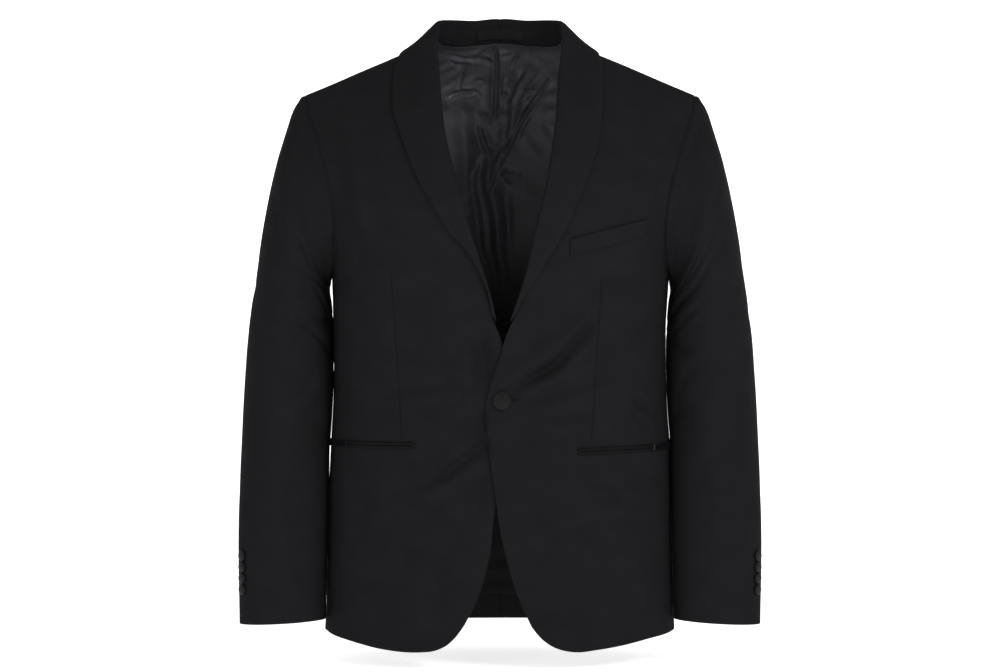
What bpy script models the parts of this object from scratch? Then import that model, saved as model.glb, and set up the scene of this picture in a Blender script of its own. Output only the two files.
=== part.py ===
"""Blazer with a shawl collar and one button, filled out as it is worn, in metres.

+Z is up, the front faces -Y and the wearer's left is +X. The origin lies on the line of the
shoulders between the two neck points, where the wearer carries the jacket.
Every panel is a cloth wall worked out on one of two surfaces: the body, given by rings from
the shoulder line to the hem, and the sleeve, given by rings from the armhole to the cuff.
"""
import bpy
import bmesh
import numpy as np
from mathutils import Matrix, Vector

SHELL_WALL = 0.0020
SLEEVE_WALL = 0.0016
COLLAR_WALL = 0.0018
LINING_WALL = 0.0010
TRIM_WALL = 0.0012
SEAM_GAP = 0.0003
LAYER_GAP = 0.0006
COLLAR_GAP = 0.0020
LINING_GAP = 0.0010
NECK_GAP = 0.0018
RIDGE_BLEND = 0.006
FRONT_CROWD, BACK_CROWD, HEM_CROWD = 1.3, 1.6, 1.25

RIDGE_TOP = 0.0288
RIDGE_SOFT = 0.030
SHOULDER_SLOPE = 0.43
NECK_ROUND = 0.035
SLOPE_DEPTH = 0.30
SQUARENESS = 2.3
FRONT_ROUNDING = (0.22, 1.5)
BACK_ROUNDING = (0.16, 2.5)
# The right front dips under the left one from this x and below this z, eased over a length.
UNDERLAP_DROP = 0.0032
UNDERLAP_START, UNDERLAP_TOP, UNDERLAP_EASE = -0.056, -0.298, 0.036
FRONT_COLUMNS, FRONT_LOW_ROWS, FRONT_HIGH_ROWS = 12, 16, 15
BACK_COLUMNS, SHOULDER_COLUMNS, BACK_LOW_ROWS, BACK_HIGH_ROWS = 12, 6, 10, 11
SIDE_COLUMNS = 5
SLEEVE_ROWS, TOP_SLEEVE_COLUMNS, UNDER_SLEEVE_COLUMNS = 22, 11, 8
LEFT, RIGHT = 1, -1
SIDES = {"left": LEFT, "right": RIGHT}


def table(columns, rows):
    """Named columns of a short table as arrays."""
    return dict(zip(columns.split(), np.array(rows, dtype=float).T))


# Rings of the body from hem to shoulder: level, half width, depth before and behind the side.
BODY_RINGS = table("level half_width front back", (
    (-0.705, 0.2065, 0.1205, 0.1210),
    (-0.666, 0.2040, 0.1200, 0.1195),
    (-0.600, 0.2025, 0.1180, 0.1140),
    (-0.533, 0.2005, 0.1155, 0.1050),
    (-0.468, 0.1978, 0.1140, 0.0940),
    (-0.4155, 0.1950, 0.1150, 0.0915),
    (-0.380, 0.1945, 0.1170, 0.0940),
    (-0.300, 0.1952, 0.1215, 0.1040),
    (-0.270, 0.1975, 0.1230, 0.1080),
    (-0.2275, 0.2025, 0.1255, 0.1130),
    (-0.170, 0.2155, 0.1270, 0.1160),
    (-0.080, 0.2320, 0.1270, 0.1150),
    (0.030, 0.2400, 0.1270, 0.1150),
))

# Armhole from the shoulder point round the front and under the arm to the shoulder point again.
ARMHOLE = table("turn run", (
    (69.5, 0.0000), (67.0, 0.0380), (61.0, 0.1000), (58.3, 0.1640), (58.8, 0.2050),
    (61.0, 0.2420), (66.0, 0.2800), (71.0, 0.3080), (80.0, 0.3240), (90.0, 0.3280),
    (101.0, 0.3220), (109.0, 0.2980), (113.0, 0.2500), (115.0, 0.1900), (114.5, 0.1200),
    (112.5, 0.0500), (110.5, 0.0000),
))
FRONT_SEAM_TURN = 76.0
BACK_SEAM_TURN = 114.0
BACK_SEAM_TOP_TURN = 111.0
UNDERARM_RUN = 0.25
CURVE_POINTS = 400
NUDGE = 0.001

# Edge of each front from its rounded lower corner up to the break of the lapel.
FRONT_EDGES = {
    "left": table("x z", (
        (0.0360, -0.6690), (0.0213, -0.6366), (0.0047, -0.5807), (-0.0066, -0.5122),
        (-0.0143, -0.4485), (-0.0154, -0.4132), (-0.0100, -0.3920), (-0.0013, -0.3671),
        (0.0070, -0.3400),
    )),
    "right": table("x z", (
        (-0.0390, -0.6650), (-0.0282, -0.6440), (-0.0129, -0.5960), (-0.0055, -0.5378),
        (0.0080, -0.4800), (0.0140, -0.4132), (0.0120, -0.3900), (0.0060, -0.3600),
        (-0.0003, -0.3400),
    )),
}
# Hem from that corner to the side.
FRONT_HEMS = {
    "left": table("x z", (
        (0.0360, -0.6690), (0.0472, -0.6824), (0.0623, -0.6926), (0.0853, -0.6982),
        (0.1107, -0.6965), (0.1420, -0.6925), (0.1688, -0.6880), (0.1990, -0.6840),
    )),
    "right": table("x z", (
        (-0.0390, -0.6650), (-0.0473, -0.6772), (-0.0599, -0.6898), (-0.0726, -0.6959),
        (-0.0981, -0.6988), (-0.1397, -0.6960), (-0.1661, -0.6912), (-0.1990, -0.6850),
    )),
}
SIDE_HEM_Z = -0.6835
BACK_HEM_Z = -0.6865

# Shawl collar from the centre back over the shoulder to the break: where its roll line stands
# and its outer edge lies, each by its distance from the centre and its run over the shoulder
# line (behind is positive), the height of its stand, and how far its foot lies from the roll.
COLLAR_COLUMNS = "roll_x roll_run edge_x edge_run stand foot"
COLLAR_BACK_ROWS = (
    (0.0000, 0.0335, 0.0000, 0.0560, 0.0265, 0.0025),
    (0.0300, 0.0305, 0.0400, 0.0550, 0.0265, 0.0025),
    (0.0550, 0.0215, 0.0760, 0.0480, 0.0262, 0.0025),
    (0.0690, 0.0110, 0.1000, 0.0270, 0.0258, 0.0025),
    (0.0745, 0.0000, 0.1125, 0.0000, 0.0245, 0.0030),
)
COLLAR_FRONT_ROWS = {
    "left": (
        (0.0750, -0.0200, 0.1165, -0.0240, 0.0150, 0.0060),
        (0.0725, -0.0450, 0.1185, -0.0530, 0.0045, 0.0100),
        (0.0688, -0.0700, 0.1175, -0.0800, 0.0000, 0.0120),
        (0.0640, -0.1390, 0.1130, -0.1440, 0.0000, 0.0120),
        (0.0533, -0.2170, 0.0968, -0.2130, 0.0000, 0.0120),
        (0.0374, -0.2920, 0.0696, -0.2833, 0.0000, 0.0110),
        (0.0284, -0.3314, 0.0440, -0.3270, 0.0000, 0.0070),
        (0.0182, -0.3637, 0.0256, -0.3560, 0.0000, 0.0040),
        (0.0120, -0.3810, 0.0175, -0.3740, 0.0000, 0.0030),
    ),
    "right": (
        (0.0750, -0.0200, 0.1190, -0.0240, 0.0150, 0.0060),
        (0.0735, -0.0450, 0.1230, -0.0560, 0.0045, 0.0100),
        (0.0705, -0.0700, 0.1230, -0.0850, 0.0000, 0.0120),
        (0.0631, -0.1530, 0.1100, -0.1520, 0.0000, 0.0120),
        (0.0443, -0.2380, 0.0834, -0.2293, 0.0000, 0.0120),
        (0.0345, -0.2760, 0.0580, -0.2760, 0.0000, 0.0110),
        (0.0224, -0.3140, 0.0353, -0.3036, 0.0000, 0.0070),
        (0.0100, -0.3560, 0.0145, -0.3460, 0.0000, 0.0035),
        (0.0045, -0.3810, 0.0085, -0.3740, 0.0000, 0.0020),
    ),
}
COLLAR_LEAN = 0.15
COLLAR_COUNT = 26
COLLAR_CROWD = 1.3
STAND_FULL = 0.016

# Section of the collar from its foot up to the roll and down to its edge: share of the way
# out to the foot, share of the way out to the edge, layer (-1 under, 1 over), share of the
# stand's height.
COLLAR_SECTION = table("foot fall layer rise", (
    (1.00, 0.000, -1.00, 0.00),
    (0.55, 0.000, -1.00, 0.38),
    (0.20, 0.000, -1.00, 0.78),
    (0.08, 0.000, -0.75, 0.94),
    (0.00, 0.000, 0.00, 1.02),
    (0.00, 0.020, 0.75, 0.97),
    (0.00, 0.070, 1.00, 0.90),
    (0.00, 0.200, 1.00, 0.70),
    (0.00, 0.400, 1.00, 0.45),
    (0.00, 0.620, 1.00, 0.23),
    (0.00, 0.830, 1.00, 0.08),
    (0.00, 1.000, 1.00, 0.00),
))

# Sleeve from armhole to cuff: outer and inner point of each ring seen from the front, half
# its depth and how far its middle lies behind the shoulder line.
SLEEVE_RINGS = table("outer_x outer_z inner_x inner_z half_depth middle_y", (
    (0.2310, -0.0580, 0.1975, -0.2720, 0.0690, 0.0060),
    (0.2430, -0.0730, 0.1990, -0.2760, 0.0690, 0.0050),
    (0.2530, -0.1000, 0.2000, -0.2800, 0.0690, 0.0040),
    (0.2625, -0.1330, 0.2010, -0.2850, 0.0690, 0.0030),
    (0.2700, -0.1640, 0.2020, -0.2910, 0.0685, 0.0020),
    (0.2775, -0.2050, 0.2018, -0.2990, 0.0670, 0.0010),
    (0.2840, -0.2450, 0.2008, -0.3110, 0.0650, 0.0000),
    (0.2895, -0.2850, 0.1998, -0.3280, 0.0630, -0.0010),
    (0.2945, -0.3260, 0.1990, -0.3500, 0.0600, -0.0030),
    (0.2985, -0.3720, 0.1988, -0.3850, 0.0570, -0.0060),
    (0.3015, -0.4200, 0.2000, -0.4250, 0.0530, -0.0100),
    (0.3035, -0.4700, 0.2028, -0.4700, 0.0490, -0.0160),
    (0.3045, -0.5200, 0.2038, -0.5180, 0.0450, -0.0220),
    (0.3050, -0.5700, 0.2046, -0.5660, 0.0410, -0.0280),
    (0.3045, -0.6200, 0.2056, -0.6150, 0.0370, -0.0320),
    (0.3038, -0.6745, 0.2062, -0.6690, 0.0340, -0.0350),
))
# The sleeve's head bends into the armhole over this share of its length, by this power.
HEAD_SHARE, HEAD_BEND = 0.24, 1.6
RIM_RISE = 0.0007
SLEEVE_CROWD = 1.15
SLEEVE_RADIUS = 0.045
HIND_SEAM = (-62.0, 14.0)
FOREARM_SEAM = (150.0, 205.0)

# Soft folds pressed into the cloth: a line from (x0, z0) to (x1, z1), its half width and its
# depth, where a negative depth is a ridge.
BODY_FOLDS = table("x0 z0 x1 z1 width depth", (
    (0.020, -0.398, 0.060, -0.375, 0.012, 0.0035),
    (0.060, -0.375, 0.108, -0.325, 0.014, 0.0030),
    (0.060, -0.345, 0.092, -0.297, 0.013, 0.0018),
    (0.030, -0.372, 0.075, -0.335, 0.012, -0.0016),
    (-0.018, -0.467, -0.083, -0.505, 0.013, 0.0020),
    (-0.048, -0.250, -0.016, -0.320, 0.014, -0.0020),
    (-0.110, -0.395, -0.060, -0.390, 0.013, 0.0014),
    (0.150, -0.405, 0.184, -0.434, 0.011, 0.0018),
    (0.110, -0.512, 0.160, -0.500, 0.013, 0.0014),
    (-0.150, -0.540, -0.100, -0.580, 0.016, 0.0014),
))
BACK_FOLDS = table("x0 z0 x1 z1 width depth", (
    (-0.150, -0.120, -0.128, -0.290, 0.014, 0.0030),
    (0.148, -0.120, 0.130, -0.280, 0.014, 0.0030),
    (-0.150, -0.385, -0.050, -0.420, 0.014, 0.0025),
    (0.030, -0.425, 0.140, -0.395, 0.014, 0.0022),
    (-0.060, -0.050, 0.062, -0.052, 0.014, 0.0018),
))
# Folds across a sleeve: place along it, angle round it, tilt, half width, reach, depth. The
# tilt is the change of place over a turn of this many degrees.
FOLD_TILT_TURN = 100.0
SLEEVE_FOLDS = {
    "left": table("along angle tilt width reach depth", (
        (0.420, 150.0, 0.10, 0.016, 70.0, 0.0040),
        (0.520, 165.0, -0.12, 0.014, 60.0, 0.0030),
        (0.300, 120.0, 0.12, 0.016, 50.0, 0.0022),
        (0.480, -60.0, 0.05, 0.016, 60.0, 0.0030),
        (0.690, 160.0, 0.10, 0.018, 60.0, 0.0022),
    )),
    "right": table("along angle tilt width reach depth", (
        (0.440, 165.0, -0.10, 0.014, 60.0, 0.0035),
        (0.540, 150.0, 0.12, 0.014, 70.0, 0.0032),
        (0.310, 125.0, -0.10, 0.016, 50.0, 0.0020),
        (0.500, -55.0, -0.06, 0.016, 60.0, 0.0030),
        (0.720, 165.0, 0.08, 0.018, 60.0, 0.0020),
    )),
}

# Half of a button's section from its top round the rim to its back, in shares of its radius
# and of its thickness.
BUTTON_SECTION = ((0.0, 1.0), (0.55, 0.90), (0.86, 0.66), (1.0, 0.35), (0.90, 0.0))
BUTTON_STEPS, CUFF_BUTTON_STEPS = 24, 14
BUTTON_PLACE = (0.0024, -0.4129)
BUTTON_RADIUS = 0.0103
BUTTON_THICK = 0.0044
CUFF_BUTTON_RADIUS = 0.0062
CUFF_BUTTON_THICK = 0.0034
CUFF_BUTTON_PITCH = 0.0130
CUFF_BUTTON_COUNT = 4
CUFF_BUTTON_FIRST = 0.0405
CUFF_BUTTON_ANGLE = 30.0
CUFF_SHANK_RADIUS = 0.0030
BUTTON_SEAT = 0.0004
BUTTONHOLE = (0.0240, 0.0026)
CUTTER_DEPTH = 0.02
SHANK_RADIUS = 0.0009
WELD = 0.00001

WELT_CORNERS = ((0.0795, -0.2506), (0.1667, -0.2253), (0.0795, -0.2310), (0.1667, -0.2062))
WELT_COLUMNS, WELT_ROWS = 8, 3
JET_HEIGHT = 0.0036
JET_COLUMNS = 14
JET_END_TURN = 100.0
# Turn where each pocket begins and the height of its upper edge there and at its end.
JET_LINES = {"left": (25.9, -0.4677, -0.4610), "right": (28.2, -0.4609, -0.4605)}
LABEL_SIZE = (0.058, 0.0120)
LABEL_FOOT = 0.0030
LABEL_GRID = (9, 3)
LABEL_SEAT = 0.0014
LINING_HEM_Z = -0.654
LINING_INSET = 0.003

COLOURS = {
    "wool": ((0.0140, 0.0140, 0.0155, 1.0), 0.82),
    "satin": ((0.0300, 0.0290, 0.0360, 1.0), 0.38),
    "trim": ((0.0120, 0.0120, 0.0135, 1.0), 0.50),
    "button": ((0.0170, 0.0170, 0.0185, 1.0), 0.48),
    "label": ((0.0100, 0.0100, 0.0110, 1.0), 0.60),
}


def clear_scene():
    """Remove what the scene holds and make the two collections."""
    for item in list(bpy.data.objects):
        bpy.data.objects.remove(item)
    made = []
    for name in ("blazer", "cutters"):
        collection = bpy.data.collections.new(name)
        bpy.context.scene.collection.children.link(collection)
        made.append(collection)
    return made


PARTS, CUTTERS = clear_scene()


def finish_material(node, kind):
    """Principled material of the node's own, with its kind's colour and roughness."""
    colour, roughness = COLOURS[kind]
    material = bpy.data.materials.new(node)
    material.use_nodes = True
    shader = material.node_tree.nodes["Principled BSDF"]
    shader.inputs["Base Color"].default_value = colour
    shader.inputs["Roughness"].default_value = roughness
    shader.inputs["Metallic"].default_value = 0.0
    return material


def add_part(name, mesh, kind):
    """Put a mesh in the parts collection, shaded smooth, with its own material."""
    mesh.shade_smooth()
    mesh.set_sharp_from_angle(angle=np.radians(40.0))
    part = bpy.data.objects.new(name, mesh)
    part.data.materials.append(finish_material(name, kind))
    PARTS.objects.link(part)
    return part


def wall_mesh(name, outside, inside):
    """Closed cloth wall lofted between two grids of points, with its four edges closed.

    Both faces are divided along the same diagonals, so that the wall is as thick everywhere,
    and so are the edges of two walls that meet at a seam.
    """
    rows, columns = outside.shape[:2]
    index = np.arange(rows * columns).reshape(rows, columns)
    corners = [index[:-1, :-1], index[:-1, 1:], index[1:, 1:], index[1:, :-1]]
    face = np.concatenate([np.stack([corners[0], corners[1], corners[2]], -1).reshape(-1, 3),
                           np.stack([corners[0], corners[2], corners[3]], -1).reshape(-1, 3)])
    rim = np.concatenate([index[0, :-1], index[:-1, -1], index[-1, :0:-1], index[:0:-1, 0]])
    after = np.roll(rim, -1)
    under = rows * columns
    at_start = np.arange(len(rim)) > len(rim) - rows
    shared_out, shared_in = np.where(at_start, rim, after), np.where(at_start, after, rim) + under
    sides = np.concatenate([np.stack([after, rim, shared_in], -1),
                            np.stack([shared_out, rim + under, after + under], -1)])
    faces = np.concatenate([face, face[:, ::-1] + under, sides])
    points = np.concatenate([outside.reshape(-1, 3), inside.reshape(-1, 3)])
    mesh = bpy.data.meshes.new(name)
    mesh.from_pydata(points.tolist(), [], faces.tolist())
    shape = bmesh.new()
    shape.from_mesh(mesh)
    bmesh.ops.recalc_face_normals(shape, faces=shape.faces)
    shape.to_mesh(mesh)
    shape.free()
    return mesh


def smooth(at, knots, values):
    """Cubic Hermite curve through the knots, each slope taken from its neighbours."""
    slopes = np.gradient(values, knots)
    at = np.clip(at, knots[0], knots[-1])
    i = np.clip(np.searchsorted(knots, at) - 1, 0, len(knots) - 2)
    width = knots[i + 1] - knots[i]
    f = (at - knots[i]) / width
    g = 1 - f
    start = (1 + 2 * f) * g * g * values[i] + f * g * g * width * slopes[i]
    end = (3 - 2 * f) * f * f * values[i + 1] - f * f * g * width * slopes[i + 1]
    return start + end


def curve(columns, count, crowd=1.0):
    """Points along a smooth curve through a table's rows, evenly spread by their distance."""
    points = np.stack(list(columns.values()), -1)
    steps = np.linalg.norm(np.diff(points, axis=0), axis=1)
    places = np.concatenate([[0.0], np.cumsum(steps)])
    at = np.linspace(0.0, 1.0, count) ** crowd * places[-1]
    return np.stack([smooth(at, places, column) for column in points.T], -1)


def ease(value):
    """Smooth step from 0 to 1."""
    value = np.clip(value, 0.0, 1.0)
    return value * value * (3 - 2 * value)


def ridge_height(x):
    """Height of the shoulder line, a hyperbola over the neck with straight shoulders."""
    return RIDGE_TOP + SHOULDER_SLOPE * (NECK_ROUND - np.hypot(x, NECK_ROUND))


def level_at(run):
    """Level of the cloth at a distance run down from the shoulder line."""
    return RIDGE_TOP + RIDGE_SOFT - np.hypot(run, RIDGE_SOFT)


def run_at(level):
    """Distance run down from the shoulder line to a level."""
    return np.sqrt(np.maximum((RIDGE_TOP - level + RIDGE_SOFT) ** 2 - RIDGE_SOFT ** 2, 0.0))


def tilt_share(level):
    """How much of the shoulder's slope a level still has."""
    return 1 - ease((RIDGE_TOP - level) / SLOPE_DEPTH)


def ring_size(level, column):
    return smooth(level, BODY_RINGS["level"], BODY_RINGS[column])


def rounding(level, depth, power):
    """Share of the full depth that the body has near the shoulder line."""
    f = np.clip(1 - (RIDGE_TOP - level) / depth, 0.0, 1.0)
    return (1 - f ** power) ** (1 / power)


def body_surface(turn, run):
    """Point of the body at a turn from centre front round the side, and a run downwards.

    Each ring is a superellipse, |x / w| ** n + |y / d| ** n = 1, whose depth d shrinks to
    nothing at the shoulder line and whose height follows the shoulder's slope.
    """
    level = level_at(run)
    front = ring_size(level, "front") * rounding(level, *FRONT_ROUNDING)
    back = ring_size(level, "back") * rounding(level, *BACK_ROUNDING)
    ahead, aside = np.cos(turn), np.sin(turn)
    reach = (np.abs(ahead) ** SQUARENESS + np.abs(aside) ** SQUARENESS) ** (-1 / SQUARENESS)
    x = ring_size(level, "half_width") * reach * aside
    y = -np.where(ahead > 0, front, back) * reach * ahead
    z = level + (ridge_height(x) - RIDGE_TOP) * tilt_share(level)
    return np.stack([x, y, z], -1)


def unit(vectors):
    return vectors / np.linalg.norm(vectors, axis=-1, keepdims=True)


def body_normal(turn, run):
    """Outward direction of the body's surface, from small steps round and down it.

    Close to the shoulder line it turns square to that line, so that the seam's two walls meet.
    """
    down = body_surface(turn, run + NUDGE) - body_surface(turn, np.maximum(run - NUDGE, 0.0))
    around = body_surface(turn + NUDGE, run) - body_surface(turn - NUDGE, run)
    over_ridge = np.stack([SHOULDER_SLOPE * np.sign(turn), 0 * turn, 1 + 0 * turn], -1)
    share = ease(run / RIDGE_BLEND)[..., None]
    return unit(unit(np.cross(down, around)) * share + unit(over_ridge) * (1 - share))


def fold_depth(folds, x, z):
    """Depth of the soft folds at x and z: a bell across each fold's line and past its ends."""
    depth = np.zeros_like(x)
    for x0, z0, x1, z1, width, deep in zip(*folds.values()):
        along_x, along_z = x1 - x0, z1 - z0
        share = ((x - x0) * along_x + (z - z0) * along_z) / (along_x ** 2 + along_z ** 2)
        share = np.clip(share, 0.0, 1.0)
        away = np.hypot(x - x0 - share * along_x, z - z0 - share * along_z)
        depth += deep * np.exp(-(away / width) ** 2) * (0.55 + 0.45 * np.sin(np.pi * share))
    return depth


def cloth(turn, run, out=0.0, side=LEFT):
    """Point a distance out of the body's cloth, with its folds and the right front's underlap."""
    turn, run = np.broadcast_arrays(np.asarray(turn, float), np.asarray(run, float))
    point = body_surface(turn, run)
    x, z = point[..., 0], point[..., 2]
    is_front = np.abs(turn) < np.pi / 2
    relief = -np.where(is_front, fold_depth(BODY_FOLDS, x, z), fold_depth(BACK_FOLDS, x, z))
    if side == RIGHT:
        lapped = ease((x - UNDERLAP_START) / UNDERLAP_EASE) * ease((UNDERLAP_TOP - z) / UNDERLAP_EASE)
        relief = relief - np.where(is_front, UNDERLAP_DROP * lapped, 0.0)
    return point + body_normal(turn, run) * (relief + out)[..., None]


def turn_at(x, run):
    """Turn of the ring's point at a distance x from the centre."""
    share = np.clip(np.abs(x) / ring_size(level_at(run), "half_width"), 0.0, 0.9999)
    return np.arctan2(share, (1 - share ** SQUARENESS) ** (1 / SQUARENESS)) * np.sign(x)


def on_front(x, z):
    """Turn and run of the front's point at x and z, the run found by halving."""
    low, high = np.full_like(x, BODY_RINGS["level"][0]), np.full_like(x, RIDGE_TOP)
    for _ in range(40):
        level = (low + high) / 2
        above = level + (ridge_height(x) - RIDGE_TOP) * tilt_share(level) > z
        high, low = np.where(above, level, high), np.where(above, low, level)
    run = run_at(level)
    return np.stack([turn_at(x, run), run], -1)


def joined(first, second):
    """Two stretches of an edge as one, their shared point kept once."""
    return np.concatenate([first, second[1:]])


def patch(bottom, top, start, end):
    """Grid of turn and run spread between four edges (a Coons patch)."""
    u = np.linspace(0.0, 1.0, len(bottom))[None, :, None]
    v = np.linspace(0.0, 1.0, len(start))[:, None, None]
    across = start[:, None] * (1 - u) + end[:, None] * u
    upward = bottom[None] * (1 - v) + top[None] * v
    corners = ((bottom[0] * (1 - u) + bottom[-1] * u) * (1 - v)
               + (top[0] * (1 - u) + top[-1] * u) * v)
    return across + upward - corners


def trimmed(grid, gaps):
    """Grid of turn and run pulled in by a length at its bottom, top, start and end edges."""
    point = body_surface(grid[..., 0], grid[..., 1])
    across = np.linalg.norm(np.diff(point, axis=1), axis=-1)
    upward = np.linalg.norm(np.diff(point, axis=0), axis=-1)
    bottom, top, start, end = gaps
    moved = grid.copy()
    moved[0] += (grid[1] - grid[0]) * (bottom / upward[0])[:, None]
    moved[-1] += (grid[-2] - grid[-1]) * (top / upward[-1])[:, None]
    moved[:, 0] += (grid[:, 1] - grid[:, 0]) * (start / across[:, 0])[:, None]
    moved[:, -1] += (grid[:, -2] - grid[:, -1]) * (end / across[:, -1])[:, None]
    return moved


def cloth_wall(name, grid, side, kind="wool", out=0.0, wall=SHELL_WALL):
    """Wall of cloth on the body over a grid of turn and run."""
    turn, run = grid[..., 0], grid[..., 1]
    mesh = wall_mesh(name, cloth(turn, run, out, side), cloth(turn, run, out - wall, side))
    return add_part(name, mesh, kind)


def crowded(first, last, count, crowd):
    """Values from first to last that draw closer together towards the last."""
    return last + (first - last) * np.linspace(1.0, 0.0, count) ** crowd


def armhole(shares):
    """Points of the armhole at shares of its length, in turn and run."""
    whole = curve({"turn": np.radians(ARMHOLE["turn"]), "run": ARMHOLE["run"]}, CURVE_POINTS)
    points = body_surface(whole[:, 0], whole[:, 1])
    steps = np.linalg.norm(np.diff(points, axis=0), axis=1)
    share = np.concatenate([[0.0], np.cumsum(steps)]) / steps.sum()
    return np.stack([np.interp(shares, share, column) for column in whole.T], -1)


def armhole_share(turn):
    """Share of the armhole's length at which it crosses a turn, low under the arm."""
    at = np.linspace(0.0, 1.0, CURVE_POINTS)
    stretch = armhole(at)
    low = stretch[:, 1] > UNDERARM_RUN
    return at[low][np.argmin(np.abs(stretch[low, 0] - np.radians(turn)))]


FRONT_SHARE = armhole_share(FRONT_SEAM_TURN)
BACK_SHARE = armhole_share(BACK_SEAM_TOP_TURN)


def ridge_offset(turns):
    """Runs at which the cloth at some turns lies a seam's gap away from the shoulder line."""
    runs = np.linspace(0.0, RIDGE_BLEND, CURVE_POINTS)
    away = np.abs(body_surface(turns[:, None], runs[None, :])[..., 1])
    return np.array([np.interp(SEAM_GAP, row, runs) for row in away])


def back_runs(seam_top):
    """Runs of the rows that the back and the side panel share: hem, lining's hem and up."""
    upper = np.linspace(run_at(LINING_HEM_Z), seam_top[1], BACK_LOW_ROWS)
    return np.append(run_at(BACK_HEM_Z), upper)


def seam(turn, hem_z, top, runs):
    """Points at some runs of the straight seam from the hem up to its point on the armhole."""
    share = (run_at(hem_z) - runs) / (run_at(hem_z) - top[1])
    return np.stack([np.radians(turn) * (1 - share) + top[0] * share, runs], -1)


def turned(grid, side):
    """The same grid on the given side of the wearer."""
    return grid * np.array([side, 1.0])


def collar_stations(side_name, count):
    """Rows of the collar's table from centre back to break, closest round the neck."""
    columns = table(COLLAR_COLUMNS, COLLAR_BACK_ROWS + COLLAR_FRONT_ROWS[side_name])
    steps = sum(np.hypot(np.diff(columns[f"{line}_x"]), np.diff(columns[f"{line}_run"]))
                for line in ("roll", "edge"))
    places = np.concatenate([[0.0], np.cumsum(steps)])
    at = np.linspace(0.0, 1.0, count) ** COLLAR_CROWD * places[-1]
    return {name: smooth(at, places, column) for name, column in columns.items()}


def over_shoulder(x, run, side, out=0.0):
    """Cloth point by its distance from the centre and its run, positive behind."""
    turn = turn_at(x, np.abs(run))
    turn = np.where(run > 0, np.pi - turn, turn)
    return cloth(turn * side, np.abs(run), out, side)


def fall_direction(station, side):
    """Level direction from the collar's roll towards its edge."""
    roll = over_shoulder(station["roll_x"], station["roll_run"], side)
    edge = over_shoulder(station["edge_x"], station["edge_run"], side)
    away = edge - roll
    away[..., 2] = 0.0
    return unit(away)


def collar_middle(side_name):
    """Middle surface of the collar: a row for each station, from foot over roll to edge."""
    side = SIDES[side_name]
    station = {name: column[:, None]
               for name, column in collar_stations(side_name, COLLAR_COUNT).items()}
    for name in ("roll_x", "edge_x"):
        station[name] = np.maximum(station[name], SEAM_GAP / 2)
    section = {name: column[None, :] for name, column in COLLAR_SECTION.items()}
    across_x = station["edge_x"] - station["roll_x"]
    across_run = station["edge_run"] - station["roll_run"]
    width = np.hypot(across_x, across_run)
    reach = section["foot"] * station["foot"] / width + section["fall"]
    x = station["roll_x"] + reach * across_x
    run = station["roll_run"] + reach * across_run
    base = over_shoulder(x, run, side)
    away = fall_direction(station, side)
    standing = ease(station["stand"] / STAND_FULL) * (1 - ease(section["fall"] / 0.5))
    standing = standing[..., None]
    lift = over_shoulder(x, run, side, 1.0) - base
    outward = unit(lift * (1 - standing) + away * standing)
    over, under = COLLAR_WALL / 2 + COLLAR_GAP, COLLAR_WALL / 2
    layer = np.where(section["layer"] > 0, over, under) * section["layer"]
    upward = unit(np.array([0.0, 0.0, 1.0]) - COLLAR_LEAN * away)
    height = section["rise"] * station["stand"]
    return base + outward * layer[..., None] + upward * height[..., None]


def grid_normal(points):
    """Unit normal of a grid of points from its neighbours."""
    return unit(np.cross(np.gradient(points, axis=0), np.gradient(points, axis=1)))


def make_collar(side_name):
    """Half of the shawl collar with its stand, roll and fall."""
    middle = collar_middle(side_name)
    normal = grid_normal(middle) * COLLAR_WALL / 2
    name = f"shawl_collar_{side_name}"
    return add_part(name, wall_mesh(name, middle + normal, middle - normal), "wool")


def make_label():
    """Bare label on the inner face of the collar's stand, behind the neck."""
    columns, rows = LABEL_GRID
    x = np.linspace(-0.5, 0.5, columns) * LABEL_SIZE[0]
    height = LABEL_FOOT + np.linspace(0.0, 1.0, rows) * LABEL_SIZE[1]
    stations = collar_stations("left", CURVE_POINTS)
    behind = stations["roll_run"] > 0
    near = {name: np.interp(np.abs(x), stations["roll_x"][behind], column[behind])
            for name, column in stations.items()}
    base = over_shoulder(near["roll_x"], near["roll_run"], LEFT)
    away = fall_direction(near, LEFT)
    flip = np.stack([np.sign(x), np.ones(columns), np.ones(columns)], -1)
    base, away = base * flip, away * flip
    upward = unit(np.array([0.0, 0.0, 1.0]) - COLLAR_LEAN * away)
    grid = base[None] + upward[None] * height[:, None, None]
    mesh = wall_mesh("neck_label", grid - away * LABEL_SEAT,
                     grid - away * (LABEL_SEAT + LINING_WALL))
    return add_part("neck_label", mesh, "label")


def neckline(side_name):
    """Distance from the centre and run of the line where the panels meet the collar's foot."""
    stations = collar_stations(side_name, CURVE_POINTS)
    across_x = stations["edge_x"] - stations["roll_x"]
    across_run = stations["edge_run"] - stations["roll_run"]
    share = stations["foot"] / np.hypot(across_x, across_run)
    return stations["roll_x"] + share * across_x, stations["roll_run"] + share * across_run


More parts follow.
